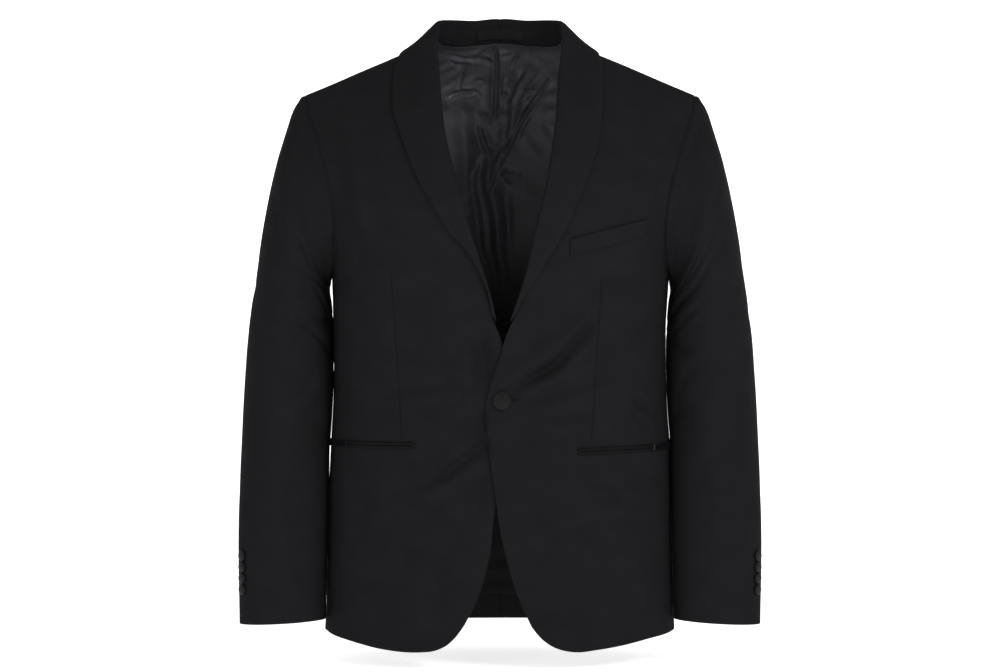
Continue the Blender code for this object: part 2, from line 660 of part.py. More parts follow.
def make_front(side_name):
    """Front from its edge and lapel break to the side seam, the armhole and the shoulder."""
    side = SIDES[side_name]
    x, run = neckline(side_name)
    ahead = run < 0
    neck_run = -run[ahead]
    neck_turn = turn_at(x[ahead], neck_run)
    edge = curve(FRONT_EDGES[side_name], FRONT_LOW_ROWS)
    low_edge = on_front(edge[:, 0] * side, edge[:, 1])
    lapel_end = neck_run[-1]
    upper = crowded(lapel_end, 0.0, FRONT_HIGH_ROWS - 1, FRONT_CROWD)
    high_runs = np.append(low_edge[-1, 1], upper)
    turns = np.interp(high_runs, neck_run, neck_turn)
    turns[0] = low_edge[-1, 0]
    high_edge = np.stack([turns, high_runs], -1)
    seam_top = armhole(FRONT_SHARE)
    low_runs = np.linspace(run_at(SIDE_HEM_Z), seam_top[1], FRONT_LOW_ROWS)
    low_seam = seam(FRONT_SEAM_TURN, SIDE_HEM_Z, seam_top, low_runs)
    high_seam = armhole(crowded(FRONT_SHARE, 0.0, FRONT_HIGH_ROWS, FRONT_CROWD))
    hem = curve(FRONT_HEMS[side_name], FRONT_COLUMNS, HEM_CROWD)
    bottom = on_front(hem[:, 0] * side, hem[:, 1])
    bottom[-1] = low_seam[0]
    top = np.stack([np.linspace(high_edge[-1, 0], high_seam[-1, 0], FRONT_COLUMNS),
                    np.zeros(FRONT_COLUMNS)], -1)
    grid = patch(bottom, top, joined(low_edge, high_edge), joined(low_seam, high_seam))
    half = SEAM_GAP / 2
    lapel_gap = NECK_GAP * (np.arange(len(grid)) >= FRONT_LOW_ROWS)
    grid = trimmed(grid, (0.0, 0.0, lapel_gap, half))
    grid[-1, :, 1] = ridge_offset(grid[-1, :, 0])
    return cloth_wall(f"front_{side_name}", turned(grid, side), side)


def make_side_panel(side_name):
    """Panel under the arm, from the hem to the bottom of the armhole."""
    top = armhole(np.linspace(FRONT_SHARE, BACK_SHARE, SIDE_COLUMNS))
    end = seam(BACK_SEAM_TURN, BACK_HEM_Z, top[-1], back_runs(top[-1]))
    start_runs = np.linspace(run_at(SIDE_HEM_Z), top[0, 1], len(end))
    start = seam(FRONT_SEAM_TURN, SIDE_HEM_Z, top[0], start_runs)
    bottom = np.linspace(start[0], end[0], SIDE_COLUMNS)
    half = SEAM_GAP / 2
    grid = trimmed(patch(bottom, top, start, end), (0.0, half, half, half))
    side = SIDES[side_name]
    return cloth_wall(f"side_panel_{side_name}", turned(grid, side), side)


def back_grid(side_name):
    """Grid of the back: its hem, the hem of the lining, then up to neck and shoulder."""
    x, run = neckline(side_name)
    behind = run >= 0
    neck = np.stack([np.pi - turn_at(x[behind], run[behind]), run[behind]], -1)[::-1]
    seam_top = armhole(BACK_SHARE)
    low_runs = back_runs(seam_top)
    low_seam = seam(BACK_SEAM_TURN, BACK_HEM_Z, seam_top, low_runs)
    high_seam = armhole(crowded(BACK_SHARE, 1.0, BACK_HIGH_ROWS, BACK_CROWD))
    high_runs = crowded(seam_top[1], neck[-1, 1], BACK_HIGH_ROWS, BACK_CROWD)
    runs = joined(low_runs, high_runs)
    centre = np.stack([np.full_like(runs, np.pi), runs], -1)
    bottom = np.linspace(low_seam[0], centre[0], BACK_COLUMNS)
    shoulder = np.stack([np.linspace(high_seam[-1, 0], neck[0, 0], SHOULDER_COLUMNS),
                         np.zeros(SHOULDER_COLUMNS)], -1)
    at = np.linspace(0, len(neck) - 1, BACK_COLUMNS - SHOULDER_COLUMNS + 1)
    around = np.stack([np.interp(at, np.arange(len(neck)), column) for column in neck.T], -1)
    return patch(bottom, joined(shoulder, around), joined(low_seam, high_seam), centre)


def make_back(side_name):
    """Half of the back, joined to the other half down the centre."""
    half = SEAM_GAP / 2
    neck_gap = NECK_GAP * (np.arange(BACK_COLUMNS) >= SHOULDER_COLUMNS - 1)
    grid = trimmed(back_grid(side_name), (0.0, neck_gap, half, half))
    grid[-1, :SHOULDER_COLUMNS - 1, 1] = ridge_offset(grid[-1, :SHOULDER_COLUMNS - 1, 0])
    side = SIDES[side_name]
    return cloth_wall(f"back_{side_name}", turned(grid, side), side)


def make_back_lining(side_name):
    """Half of the satin lining of the back, hung inside it and shorter than its hem."""
    grid = trimmed(back_grid(side_name)[1:], (0.0, LINING_INSET, LINING_INSET, SEAM_GAP / 2))
    side = SIDES[side_name]
    return cloth_wall(f"back_lining_{side_name}", turned(grid, side), side, "satin",
                      -SHELL_WALL - LINING_GAP, LINING_WALL)


def armhole_rim():
    """Line of the armhole moved out of the body's cloth and into the hole by a seam's gap."""
    hole = armhole(np.linspace(0.0, 1.0, CURVE_POINTS))
    point, normal = body_surface(hole[:, 0], hole[:, 1]), body_normal(hole[:, 0], hole[:, 1])
    into_hole = unit(np.cross(normal, np.gradient(point, axis=0)))
    return point + RIM_RISE * normal + 2 * SEAM_GAP * into_hole, into_hole


def around_sleeve(ring, angle):
    """Point of a sleeve's ring at an angle: 0 outside, 90 in front, 180 inside, 270 behind."""
    outward, forward = np.cos(np.radians(angle)), np.sin(np.radians(angle))
    x = ring["inner_x"] + (ring["outer_x"] - ring["inner_x"]) * (1 + outward) / 2
    z = ring["inner_z"] + (ring["outer_z"] - ring["inner_z"]) * (1 + outward) / 2
    return np.stack([x, ring["middle_y"] - ring["half_depth"] * forward, z], -1)


def sleeve_surface(side_name, along, angle):
    """Point of the sleeve by its share of the way to the cuff and its angle round.

    A ring is an ellipse between its outer and inner point. The first rings bend over into
    the armhole, and soft folds draw the cloth in towards the middle of its ring.
    """
    places = np.linspace(0.0, 1.0, len(SLEEVE_RINGS["outer_x"]))
    ring = {name: smooth(along, places, column) for name, column in SLEEVE_RINGS.items()}
    first = {name: column[0] for name, column in SLEEVE_RINGS.items()}
    at = np.linspace(0.0, 1.0, CURVE_POINTS)
    share = (angle / 360.0) % 1.0
    target = np.stack([np.interp(share, at, column) for column in armhole_rim()[0].T], -1)
    bend = (1 - ease(along / HEAD_SHARE)) ** HEAD_BEND
    point = around_sleeve(ring, angle)
    point = point + (target - around_sleeve(first, angle)) * bend[..., None]
    middle = (around_sleeve(ring, angle) + around_sleeve(ring, angle + 180.0)) / 2
    depth = np.zeros_like(point[..., 0])
    for place, centre, tilt, width, reach, deep in zip(*SLEEVE_FOLDS[side_name].values()):
        off = (angle - centre + 180.0) % 360.0 - 180.0
        across = (along - place - tilt * off / FOLD_TILT_TURN) / width
        depth += deep * np.exp(-across ** 2 - (off / reach) ** 2)
    point = point + unit(middle - point) * depth[..., None]
    return point * np.array([SIDES[side_name], 1.0, 1.0])


def sleeve_inward(side_name, along, angle):
    """Direction into the sleeve, kept clear of the body's panels at the armhole."""
    down = (sleeve_surface(side_name, np.minimum(along + NUDGE, 1.0), angle)
            - sleeve_surface(side_name, np.maximum(along - NUDGE, 0.0), angle))
    around = (sleeve_surface(side_name, along, angle + 1.0)
              - sleeve_surface(side_name, along, angle - 1.0))
    inward = unit(np.cross(down, around)) * SIDES[side_name]
    at = np.linspace(0.0, 1.0, CURVE_POINTS)
    share = (angle / 360.0) % 1.0
    into_hole = np.stack([np.interp(share, at, column) for column in armhole_rim()[1].T], -1)
    into_hole = into_hole * np.array([SIDES[side_name], 1.0, 1.0])
    back = np.minimum((inward * into_hole).sum(-1, keepdims=True), 0.0)
    return unit(inward - into_hole * back * (along < 1e-6)[..., None])


def sleeve_wall(name, side_name, seams, columns):
    """Wall of one sleeve piece between two seams that each turn from armhole to cuff."""
    along = np.linspace(0.0, 1.0, SLEEVE_ROWS)[:, None] ** SLEEVE_CROWD
    along = along + np.zeros((1, columns))
    share = np.linspace(0.0, 1.0, columns)[None, :]
    gap = np.degrees(SEAM_GAP / 2 / SLEEVE_RADIUS)
    start, end = [first + (last - first) * ease(along) for first, last in seams]
    angle = (start + gap) * (1 - share) + (end - gap) * share
    outside = sleeve_surface(side_name, along, angle)
    inward = sleeve_inward(side_name, along, angle)
    return add_part(name, wall_mesh(name, outside, outside + inward * SLEEVE_WALL), "wool")


def make_sleeve(side_name):
    """Top sleeve over the front of the arm and under sleeve behind it."""
    sleeve_wall(f"top_sleeve_{side_name}", side_name, (HIND_SEAM, FOREARM_SEAM),
                TOP_SLEEVE_COLUMNS)
    round_again = (HIND_SEAM[0] + 360.0, HIND_SEAM[1] + 360.0)
    sleeve_wall(f"under_sleeve_{side_name}", side_name, (FOREARM_SEAM, round_again),
                UNDER_SLEEVE_COLUMNS)


def make_welt():
    """Welt of the chest pocket, a slanting strip on the wearer's left front."""
    low_in, low_out, high_in, high_out = [np.array(corner) for corner in WELT_CORNERS]
    u = np.linspace(0.0, 1.0, WELT_COLUMNS)[None, :, None]
    v = np.linspace(0.0, 1.0, WELT_ROWS)[:, None, None]
    flat = (low_in * (1 - u) + low_out * u) * (1 - v) + (high_in * (1 - u) + high_out * u) * v
    grid = on_front(flat[..., 0], flat[..., 1])
    return cloth_wall("chest_welt", grid, LEFT, "wool", LAYER_GAP + TRIM_WALL, TRIM_WALL)


def make_jets(side_name):
    """Two narrow jets of a hip pocket, one above and one below its slit."""
    side = SIDES[side_name]
    first_turn, first_z, last_z = JET_LINES[side_name]
    turn = np.radians(np.linspace(first_turn, JET_END_TURN, JET_COLUMNS))[None, :]
    top = np.linspace(first_z, last_z, JET_COLUMNS)[None, :]
    for place, name in enumerate(("upper", "lower")):
        down = np.array([JET_HEIGHT, 0.0])[:, None] + place * (JET_HEIGHT + SEAM_GAP)
        grid = np.stack([turn + 0 * down, run_at(top - down)], -1)
        cloth_wall(f"hip_jet_{name}_{side_name}", turned(grid, side), side, "trim",
                   LAYER_GAP + TRIM_WALL, TRIM_WALL)


def turned_button(name, radius, thick, shank, steps, place, outward):
    """Covered button turned from its profile: a dome, a rolled rim and a thread shank."""
    shank_radius, shank_length = shank
    profile = [(across * radius, up * thick) for across, up in BUTTON_SECTION]
    profile += [(shank_radius, 0.0), (shank_radius, -shank_length), (0.0, -shank_length)]
    mesh = bpy.data.meshes.new(name)
    edges = [(i, i + 1) for i in range(len(profile) - 1)]
    mesh.from_pydata([(x, 0.0, z) for x, z in profile], edges, [])
    button = add_part(name, mesh, "button")
    screw = button.modifiers.new("turn", "SCREW")
    screw.steps = screw.render_steps = steps
    screw.use_merge_vertices = True
    screw.merge_threshold = WELD
    button.matrix_world = (Matrix.Translation(Vector(place))
                           @ Vector(outward).to_track_quat("Z", "Y").to_matrix().to_4x4())
    return button


def make_front_button():
    """Button on the left front, its shank through the buttonhole to the right front."""
    grid = on_front(np.array([BUTTON_PLACE[0]]), np.array([BUTTON_PLACE[1]]))
    turn, run = grid[:, 0], grid[:, 1]
    outward = body_normal(turn, run)[0]
    seat = cloth(turn, run, BUTTON_SEAT, LEFT)[0]
    shank_length = BUTTON_SEAT + UNDERLAP_DROP - SEAM_GAP
    turned_button("front_button", BUTTON_RADIUS, BUTTON_THICK, (SHANK_RADIUS, shank_length),
                  BUTTON_STEPS, seat, outward)


def cut_buttonhole(front):
    """Cut the buttonhole through the left front with a thin box."""
    bpy.ops.mesh.primitive_cube_add(size=1.0)
    cutter = bpy.context.object
    cutter.name = "buttonhole_cutter"
    length, height = BUTTONHOLE
    cutter.scale = (length, CUTTER_DEPTH, height)
    cutter.location = (BUTTON_PLACE[0] + length / 2 - height, cloth(0.0, run_at(BUTTON_PLACE[1]))[1],
                       BUTTON_PLACE[1])
    for collection in list(cutter.users_collection):
        collection.objects.unlink(cutter)
    CUTTERS.objects.link(cutter)
    cutter.display_type = "WIRE"
    cutter.hide_render = True
    cut = front.modifiers.new("buttonhole", "BOOLEAN")
    cut.operation = "DIFFERENCE"
    cut.object = cutter


def make_cuff_buttons(side_name):
    """Row of covered buttons up from the cuff, beside the hind seam."""
    along = np.linspace(0.5, 1.0, CURVE_POINTS)
    angle = np.full_like(along, CUFF_BUTTON_ANGLE)
    height = sleeve_surface(side_name, along, angle)[:, 2]
    for place in range(CUFF_BUTTON_COUNT):
        up = height[-1] + CUFF_BUTTON_FIRST + place * CUFF_BUTTON_PITCH
        spot = np.interp([up], height[::-1], along[::-1])
        point = sleeve_surface(side_name, spot, angle[:1])[0]
        outward = -sleeve_inward(side_name, spot, angle[:1])[0]
        turned_button(f"cuff_button_{side_name}_{place + 1}", CUFF_BUTTON_RADIUS,
                      CUFF_BUTTON_THICK, (CUFF_SHANK_RADIUS, BUTTON_SEAT / 2), CUFF_BUTTON_STEPS,
                      point + outward * BUTTON_SEAT, outward)


for side_name in SIDES:
    front = make_front(side_name)
    make_side_panel(side_name)
    make_back(side_name)
    make_back_lining(side_name)
    make_collar(side_name)
    make_sleeve(side_name)
    make_jets(side_name)
    make_cuff_buttons(side_name)
    if side_name == "left":
        cut_buttonhole(front)
make_label()
make_welt()
make_front_button()
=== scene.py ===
"""Looks of a one-button blazer with a shawl collar, in black worsted with a charcoal satin lining.

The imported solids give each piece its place. Every section below makes one piece of the jacket, or
a group of like pieces, in the order in which a tailor puts them together, in metres.
"""
import bpy
import numpy as np
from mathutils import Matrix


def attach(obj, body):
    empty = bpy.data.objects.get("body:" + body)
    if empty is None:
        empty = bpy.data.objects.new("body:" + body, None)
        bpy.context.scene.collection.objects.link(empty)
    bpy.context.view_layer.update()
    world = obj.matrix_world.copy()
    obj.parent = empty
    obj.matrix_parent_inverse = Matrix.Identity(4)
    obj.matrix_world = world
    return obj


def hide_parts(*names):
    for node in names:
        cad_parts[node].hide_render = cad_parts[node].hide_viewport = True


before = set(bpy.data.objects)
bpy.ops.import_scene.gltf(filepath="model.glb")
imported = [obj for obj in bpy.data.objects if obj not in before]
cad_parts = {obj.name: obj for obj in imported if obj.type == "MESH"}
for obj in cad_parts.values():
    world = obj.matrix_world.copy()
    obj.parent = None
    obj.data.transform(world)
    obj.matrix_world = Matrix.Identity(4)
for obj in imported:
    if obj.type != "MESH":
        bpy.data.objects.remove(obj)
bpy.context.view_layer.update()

# The camera stands level in front of the jacket, 2.8 m away, at the height of its lower chest.
CAMERA_PLACE = (0.0047, -2.8, -0.340)
CAMERA_LENS = 84.75

camera = bpy.data.objects.new("camera", bpy.data.cameras.new("camera"))
camera.data.lens = CAMERA_LENS
camera.location = CAMERA_PLACE
camera.rotation_euler = (np.pi / 2, 0.0, 0.0)
bpy.context.scene.collection.objects.link(camera)
bpy.context.scene.camera = camera

# The two fronts are cut from black worsted over canvas, each in one piece from its rounded lower
# corner to the shoulder. A long dart under the chest shapes each one, and the left front laps
# over the right one where the button draws it together in folds.
SHELL_WALL = 0.0020
SEAM_GAP = 0.0003
SEAM_LAP = 0.0004
LAYER_GAP = 0.0006
NECK_GAP = 0.0018
RIDGE_BLEND = 0.006
NUDGE = 0.001
CURVE_POINTS = 400
SIDES = {"left": 1, "right": -1}

RIDGE_TOP, RIDGE_SOFT = 0.0288, 0.030
SHOULDER_SLOPE, NECK_ROUND, SLOPE_DEPTH = 0.43, 0.035, 0.30
SQUARENESS = 2.3
FRONT_ROUNDING, BACK_ROUNDING = (0.22, 1.5), (0.16, 2.5)
UNDERLAP_DROP, UNDERLAP_START, UNDERLAP_TOP, UNDERLAP_EASE = 0.0032, -0.056, -0.298, 0.036
FRONT_CROWD, BACK_CROWD, HEM_CROWD = 1.3, 1.6, 1.25
FRONT_COLUMNS, FRONT_LOW_ROWS, FRONT_HIGH_ROWS = 12, 16, 15
SIDE_HEM_Z, BACK_HEM_Z = -0.6835, -0.6865
FRONT_SEAM_TURN, BACK_SEAM_TURN, BACK_SEAM_TOP_TURN = 76.0, 114.0, 111.0
UNDERARM_RUN = 0.25
BACK_TURN, BACK_TURN_EASE = 1.45, 0.25


def table(columns, rows, per=1000.0):
    """Named columns of a table, in millimetres unless per says how its numbers are divided."""
    names = columns.split()
    return dict(zip(names, (np.array(rows.split(), float).reshape(-1, len(names)) / per).T))


def creases(rows, scale=0.001):
    """Creases, one a row: half width and depth in millimetres, then the points on the line."""
    rows = [np.array(row.split(), float) for row in rows.strip().splitlines()]
    return [(row[0] / 1000, row[1] / 1000, row[2:].reshape(-1, 2) * scale) for row in rows]


# Rings of the body from hem to shoulder: level, half width, depth before and behind the side.
BODY_RINGS = table("level half_width front back", """
    -705 207.3 120.5 121  -666 205 120 119.5  -600 203.7 118 114  -533 201.7 115.5 105
    -468 199.2 114 94  -415.5 196.4 115 91.5  -380 195.9 117 94  -300 196.4 121.5 104
    -270 198.2 123 108  -227.5 202.5 125.5 113  -170 215.5 127 116  -80 232 127 115
    30 240 127 115
""")
# Armhole from the shoulder point round the front and under the arm to the shoulder point again.
ARMHOLE = table("turn run", """
    69.5 0  67 38  61 100  58.3 164  58.8 205  61 242  66 280  71 308  80 324  90 328  101 322
    109 298  113 250  115 190  114.5 120  112.5 50  110.5 0
""", (1, 1000))
# Edge of each front from its rounded lower corner up to the break of the lapel.
FRONT_EDGES = {
    "left": table("x z", """
        36 -669  21.3 -636.6  4.7 -580.7  -6.6 -512.2  -14.3 -448.5  -15.4 -413.2  -10 -392
        -1.3 -367.1  7 -340
    """),
    "right": table("x z", """
        -39 -665  -28.2 -644  -12.9 -596  -5.5 -537.8  8 -480  14 -413.2  12 -390  6 -360
        -.3 -340
    """),
}
# Hem from that corner to the side.
FRONT_HEMS = {
    "left": table("x z", """
        36 -669  47.2 -682.4  62.3 -692.6  85.3 -698.2  110.7 -696.5  142 -692.5  168.8 -688
        199 -684
    """),
    "right": table("x z", """
        -39 -665  -47.3 -677.2  -59.9 -689.8  -72.6 -695.9  -98.1 -698.8  -139.7 -696
        -166.1 -691.2  -199 -685
    """),
}
# Where the collar's roll line stands and its outer edge lies, each by its distance from the
# centre and its run over the shoulder line, the stand's height, and its foot's distance.
COLLAR_COLUMNS = "roll_x roll_run edge_x edge_run stand foot"
COLLAR_BACK_ROWS = """
    0 33.5 0 56 26.5 2.5  30 30.5 40 55 27.2 2.5  55 21.5 76 48 28.4 2.5  69 11 100 27 26.4 2.5
    74.5 0 112.5 0 22.8 3
"""
COLLAR_FRONT_ROWS = {
    "left": """
        75 -20 116.5 -24 15 6  72.5 -45 118.5 -53 4.5 10  68.8 -70 117.5 -80 0 12
        64 -139 113 -144 0 12  53.3 -217 96.8 -213 0 12  37.4 -292 69.6 -283.3 0 11
        28.4 -331.4 44 -327 0 7  18.2 -363.7 25.6 -356 0 4  12 -381 17.5 -374 0 3
    """,
    "right": """
        75 -20 119 -24 15 6  73.5 -45 123 -56 4.5 10  70.5 -70 123 -85 0 12
        63.1 -153 110 -152 0 12  44.3 -238 83.4 -229.3 0 12  34.5 -276 58 -276 0 11
        22.4 -314 35.3 -303.6 0 7  10 -356 14.5 -346 0 3.5  4.5 -381 8.5 -374 0 2
    """,
}
COLLAR_CROWD = 1.3

# The largest folds: a line from (x0, z0) to (x1, z1), its half width and its depth, where a
# negative depth is a ridge.
FRONT_FOLDS = table("x0 z0 x1 z1 width depth", """
    20 -398 60 -375 12 3.5  60 -375 108 -325 14 3  60 -345 92 -297 13 1.8  30 -372 75 -335 12 -1.6
    -18 -467 -83 -505 13 2  -48 -250 -16 -320 14 -2  -110 -395 -60 -390 13 1.4
    150 -405 184 -434 11 1.8  110 -512 160 -500 13 1.4  -150 -540 -100 -580 16 1.4
""")
BACK_FOLDS = table("x0 z0 x1 z1 width depth", """
    -150 -120 -128 -290 14 3  148 -120 130 -280 14 3  -150 -385 -50 -420 14 2.5
    30 -425 140 -395 14 2.2  -60 -50 62 -52 14 1.8
""")
# Smaller creases: half width, depth, and the line each follows in x and z.
FRONT_CREASES = creases("""
    5.6 6.4  13 -402  32 -390.5  49 -381  65 -372  75 -361  88 -346  100 -333  112 -312
    10 2.6  130 -254  108 -288  84 -316  62 -338
    9 -2.6  12 -384  40 -366  64 -344  86 -310
    6 1.8  18 -424  46 -431  74 -432  98 -426
    7 1.8  14 -440  28 -458  36 -484  38 -512
    8 2.8  20 -410  60 -404  100 -392  140 -370
    9.5 7  -24 -340  -19 -366  -16.5 -398
    6 3  -17.5 -412  -19.5 -440  -16.5 -470
    8 2.2  -20 -426  -46 -434  -72 -434
    6 4.8  -16 -461  -30 -472  -57 -492  -85 -508
    8 -2.2  -20 -484  -52 -506  -90 -524
    8 3.2  -18 -384  -52 -362  -84 -328  -110 -296
    9 -1.8  -30 -376  -70 -346  -104 -306
    7 2.8  -20 -398  -60 -394  -104 -401  -140 -406
    6 1.4  -126 -390  -98 -384  -60 -384
    8 1.8  -140 -426  -104 -424  -66 -416  -30 -412
    9 2.2  -105 -551  -88 -556  -71 -568
    9 2  -110 -574  -86 -582  -62 -600
    10 1.8  -140 -510  -118 -540  -110 -590  -112 -640
    8 3  92 -492  112 -504  132 -512  156 -508
    8 2.6  108 -530  132 -524  160 -530
    9 2.2  96 -552  120 -547  150 -555
    5 2.6  154 -409  166 -420  181 -434
    5 2  148 -424  162 -434  176 -448
    8 2.2  56 -624  70 -636  86 -648
    8 1.8  54 -648  68 -657  83 -662
    10 2.6  -197 -90  -186 -140  -176 -200  -170 -250
    10 2.6  202 -88  190 -150  180 -215  174 -262
    11 -1.8  -176 -100  -164 -160  -158 -220
    11 -1.8  180 -100  168 -170  160 -225
    11 2.2  -188 -262  -160 -282  -128 -312  -90 -350
    11 1.8  -150 -238  -120 -246  -94 -262
    10 2.8  -95 -270  -70 -300  -50 -335
    12 1.8  120 -262  142 -276  170 -276
    12 1.8  120 -352  150 -342  182 -324
    12 1.6  -180 -330  -150 -352  -132 -380
    12 2.2  -175 -480  -160 -520  -158 -580
    12 2.2  176 -480  166 -540  168 -610
    13 1.6  40 -520  52 -570  54 -630
    13 1.6  -60 -560  -68 -610  -64 -660
""")
# Darts under the chest, as two straight stretches of a seam in x and z.
DARTS = {
    "left": ((0.1155, -0.2759), (0.1100, -0.3650), (0.1042, -0.4594)),
    "right": ((-0.1238, -0.2706), (-0.1171, -0.3673), (-0.1114, -0.4572)),
}
DART_DEPTH, DART_WIDTH = 0.0006, 0.0035
WAVES = table("across up size", """
    31 19 .3  -23 41 .25  57 -33 .16  83 61 .1
""", (1, 1, 1000))


def smooth(at, knots, values):
    """Cubic Hermite curve through the knots, each slope taken from its neighbours."""
    slopes = np.gradient(values, knots)
    at = np.clip(at, knots[0], knots[-1])
    i = np.clip(np.searchsorted(knots, at) - 1, 0, len(knots) - 2)
    width = knots[i + 1] - knots[i]
    f = (at - knots[i]) / width
    g = 1 - f
    start = (1 + 2 * f) * g * g * values[i] + f * g * g * width * slopes[i]
    end = (3 - 2 * f) * f * f * values[i + 1] - f * f * g * width * slopes[i + 1]
    return start + end


def walked(points):
    """Distance walked along a row of points up to each of them."""
    return np.append(0.0, np.cumsum(np.linalg.norm(np.diff(points, axis=0), axis=1)))


def curve(columns, count, crowd=1.0):
    """Points along a smooth curve through a table's rows, spread by their distance."""
    points = np.stack(list(columns.values()), -1)
    places = walked(points)
    at = np.linspace(0.0, 1.0, count) ** crowd * places[-1]
    return np.stack([smooth(at, places, column) for column in points.T], -1)


def ease(value):
    """Smooth step from 0 to 1."""
    value = np.clip(value, 0.0, 1.0)
    return value * value * (3 - 2 * value)


def unit(vectors):
    return vectors / np.linalg.norm(vectors, axis=-1, keepdims=True)


def ridge_height(x):
    """Height of the shoulder line, a hyperbola over the neck with straight shoulders."""
    return RIDGE_TOP + SHOULDER_SLOPE * (NECK_ROUND - np.hypot(x, NECK_ROUND))


def level_at(run):
    """Level of the cloth at a distance run down from the shoulder line."""
    return RIDGE_TOP + RIDGE_SOFT - np.hypot(run, RIDGE_SOFT)


def run_at(level):
    """Distance run down from the shoulder line to a level."""
    return np.sqrt(np.maximum((RIDGE_TOP - level + RIDGE_SOFT) ** 2 - RIDGE_SOFT ** 2, 0.0))


def tilt_share(level):
    """How much of the shoulder's slope a level still has."""
    return 1 - ease((RIDGE_TOP - level) / SLOPE_DEPTH)


def ring_size(level, column):
    return smooth(level, BODY_RINGS["level"], BODY_RINGS[column])


def rounding(level, depth, power):
    """Share of the full depth that the body has near the shoulder line."""
    f = np.clip(1 - (RIDGE_TOP - level) / depth, 0.0, 1.0)
    return (1 - f ** power) ** (1 / power)


def body_surface(turn, run):
    """Point of the body at a turn from centre front round the side, and a run downwards.

    Each ring is a superellipse, |x / w| ** n + |y / d| ** n = 1, whose depth d shrinks to
    nothing at the shoulder line and whose height follows the shoulder's slope.
    """
    level = level_at(run)
    front = ring_size(level, "front") * rounding(level, *FRONT_ROUNDING)
    back = ring_size(level, "back") * rounding(level, *BACK_ROUNDING)
    ahead, aside = np.cos(turn), np.sin(turn)
    reach = (np.abs(ahead) ** SQUARENESS + np.abs(aside) ** SQUARENESS) ** (-1 / SQUARENESS)
    x = ring_size(level, "half_width") * reach * aside
    y = -np.where(ahead > 0, front, back) * reach * ahead
    z = level + (ridge_height(x) - RIDGE_TOP) * tilt_share(level)
    return np.stack([x, y, z], -1)


def body_normal(turn, run):
    """Outward direction of the body's surface, square to the shoulder line close to it."""
    down = body_surface(turn, run + NUDGE) - body_surface(turn, np.maximum(run - NUDGE, 0.0))
    around = body_surface(turn + NUDGE, run) - body_surface(turn - NUDGE, run)
    over_ridge = np.stack([SHOULDER_SLOPE * np.sign(turn), 0 * turn, 1 + 0 * turn], -1)
    share = ease(run / RIDGE_BLEND)[..., None]
    return unit(unit(np.cross(down, around)) * share + unit(over_ridge) * (1 - share))


def beside(x, z, start, end):
    """How far along a straight line from start to end, and how far from it, each x and z is."""
    way = np.subtract(end, start)
    share = np.clip(((x - start[0]) * way[0] + (z - start[1]) * way[1]) / (way @ way), 0.0, 1.0)
    return share, np.hypot(x - start[0] - share * way[0], z - start[1] - share * way[1])


FOLD_END, CREASE_END, LIP_PLACE, LIP_SHARE = 0.55, 0.35, 1.9, 0.32


def fold_depth(folds, x, z):
    """Depth of the large folds: a bell across each fold's line and past its ends."""
    depth = np.zeros_like(x)
    for x0, z0, x1, z1, width, deep in zip(*folds.values()):
        share, away = beside(x, z, (x0, z0), (x1, z1))
        fade = FOLD_END + (1 - FOLD_END) * np.sin(np.pi * share)
        depth += deep * fade * np.exp(-(away / width) ** 2)
    return depth


def crease_depth(lines, x, z):
    """Depth of small creases: a trough along each line with a soft lip on both sides.

    The trough is a bell of the distance to the line, the lips are two bells beside it, and the
    whole fades towards the ends of the line.
    """
    depth = np.zeros_like(x)
    for width, deep, line in lines:
        places = walked(line) / walked(line)[-1]
        nearest, place = np.full_like(x, np.inf), np.zeros_like(x)
        for start, end, first, last in zip(line[:-1], line[1:], places[:-1], places[1:]):
            share, away = beside(x, z, start, end)
            place = np.where(away < nearest, first + share * (last - first), place)
            nearest = np.minimum(nearest, away)
        fade = CREASE_END + (1 - CREASE_END) * np.sin(np.pi * place ** 0.8)
        lip = np.exp(-(nearest / width - LIP_PLACE) ** 2)
        depth += deep * fade * (np.exp(-(nearest / width) ** 2) - LIP_SHARE * lip)
    return depth


def undulation(x, z):
    """Slow unevenness of hanging cloth, as a few crossing sine waves."""
    height = np.zeros_like(x)
    for across, up, size in zip(*WAVES.values()):
        height += size * np.sin(across * x + up * z + 1.7 * np.sin(0.6 * across * z))
    return height


def front_relief(x, z, side):
    """How far the cloth of a front stands out: its folds, creases and dart, sunk inwards."""
    dart = ((DART_WIDTH, DART_DEPTH, DARTS["left" if side > 0 else "right"]),)
    relief = (undulation(x, z) - fold_depth(FRONT_FOLDS, x, z)
              - crease_depth(FRONT_CREASES, x, z) - crease_depth(dart, x, z))
    if side < 0:
        relief -= (UNDERLAP_DROP * ease((x - UNDERLAP_START) / UNDERLAP_EASE)
                   * ease((UNDERLAP_TOP - z) / UNDERLAP_EASE))
    return relief


BACK_CREASES = creases("""
    9 1.6  -150 -130  -140 -200  -128 -290
    9 1.6  148 -125  140 -205  130 -280
    7 1.4  -148 -385  -100 -402  -50 -420
    7 1.3  32 -425  90 -414  140 -395
    8 1.1  -135 -430  -90 -438  -45 -450
    8 1  25 -452  75 -446  120 -430
    7 1.2  -62 -48  0 -56  62 -49
    11 1.2  -165 -300  -150 -360  -154 -430
    11 1.2  162 -310  152 -375  155 -440
    12 1.1  -90 -520  -80 -590  -86 -650
    12 1  70 -530  82 -600  80 -660
    12 1  110 -150  96 -210  88 -280
    12 1  -112 -160  -95 -230  -90 -300
""")


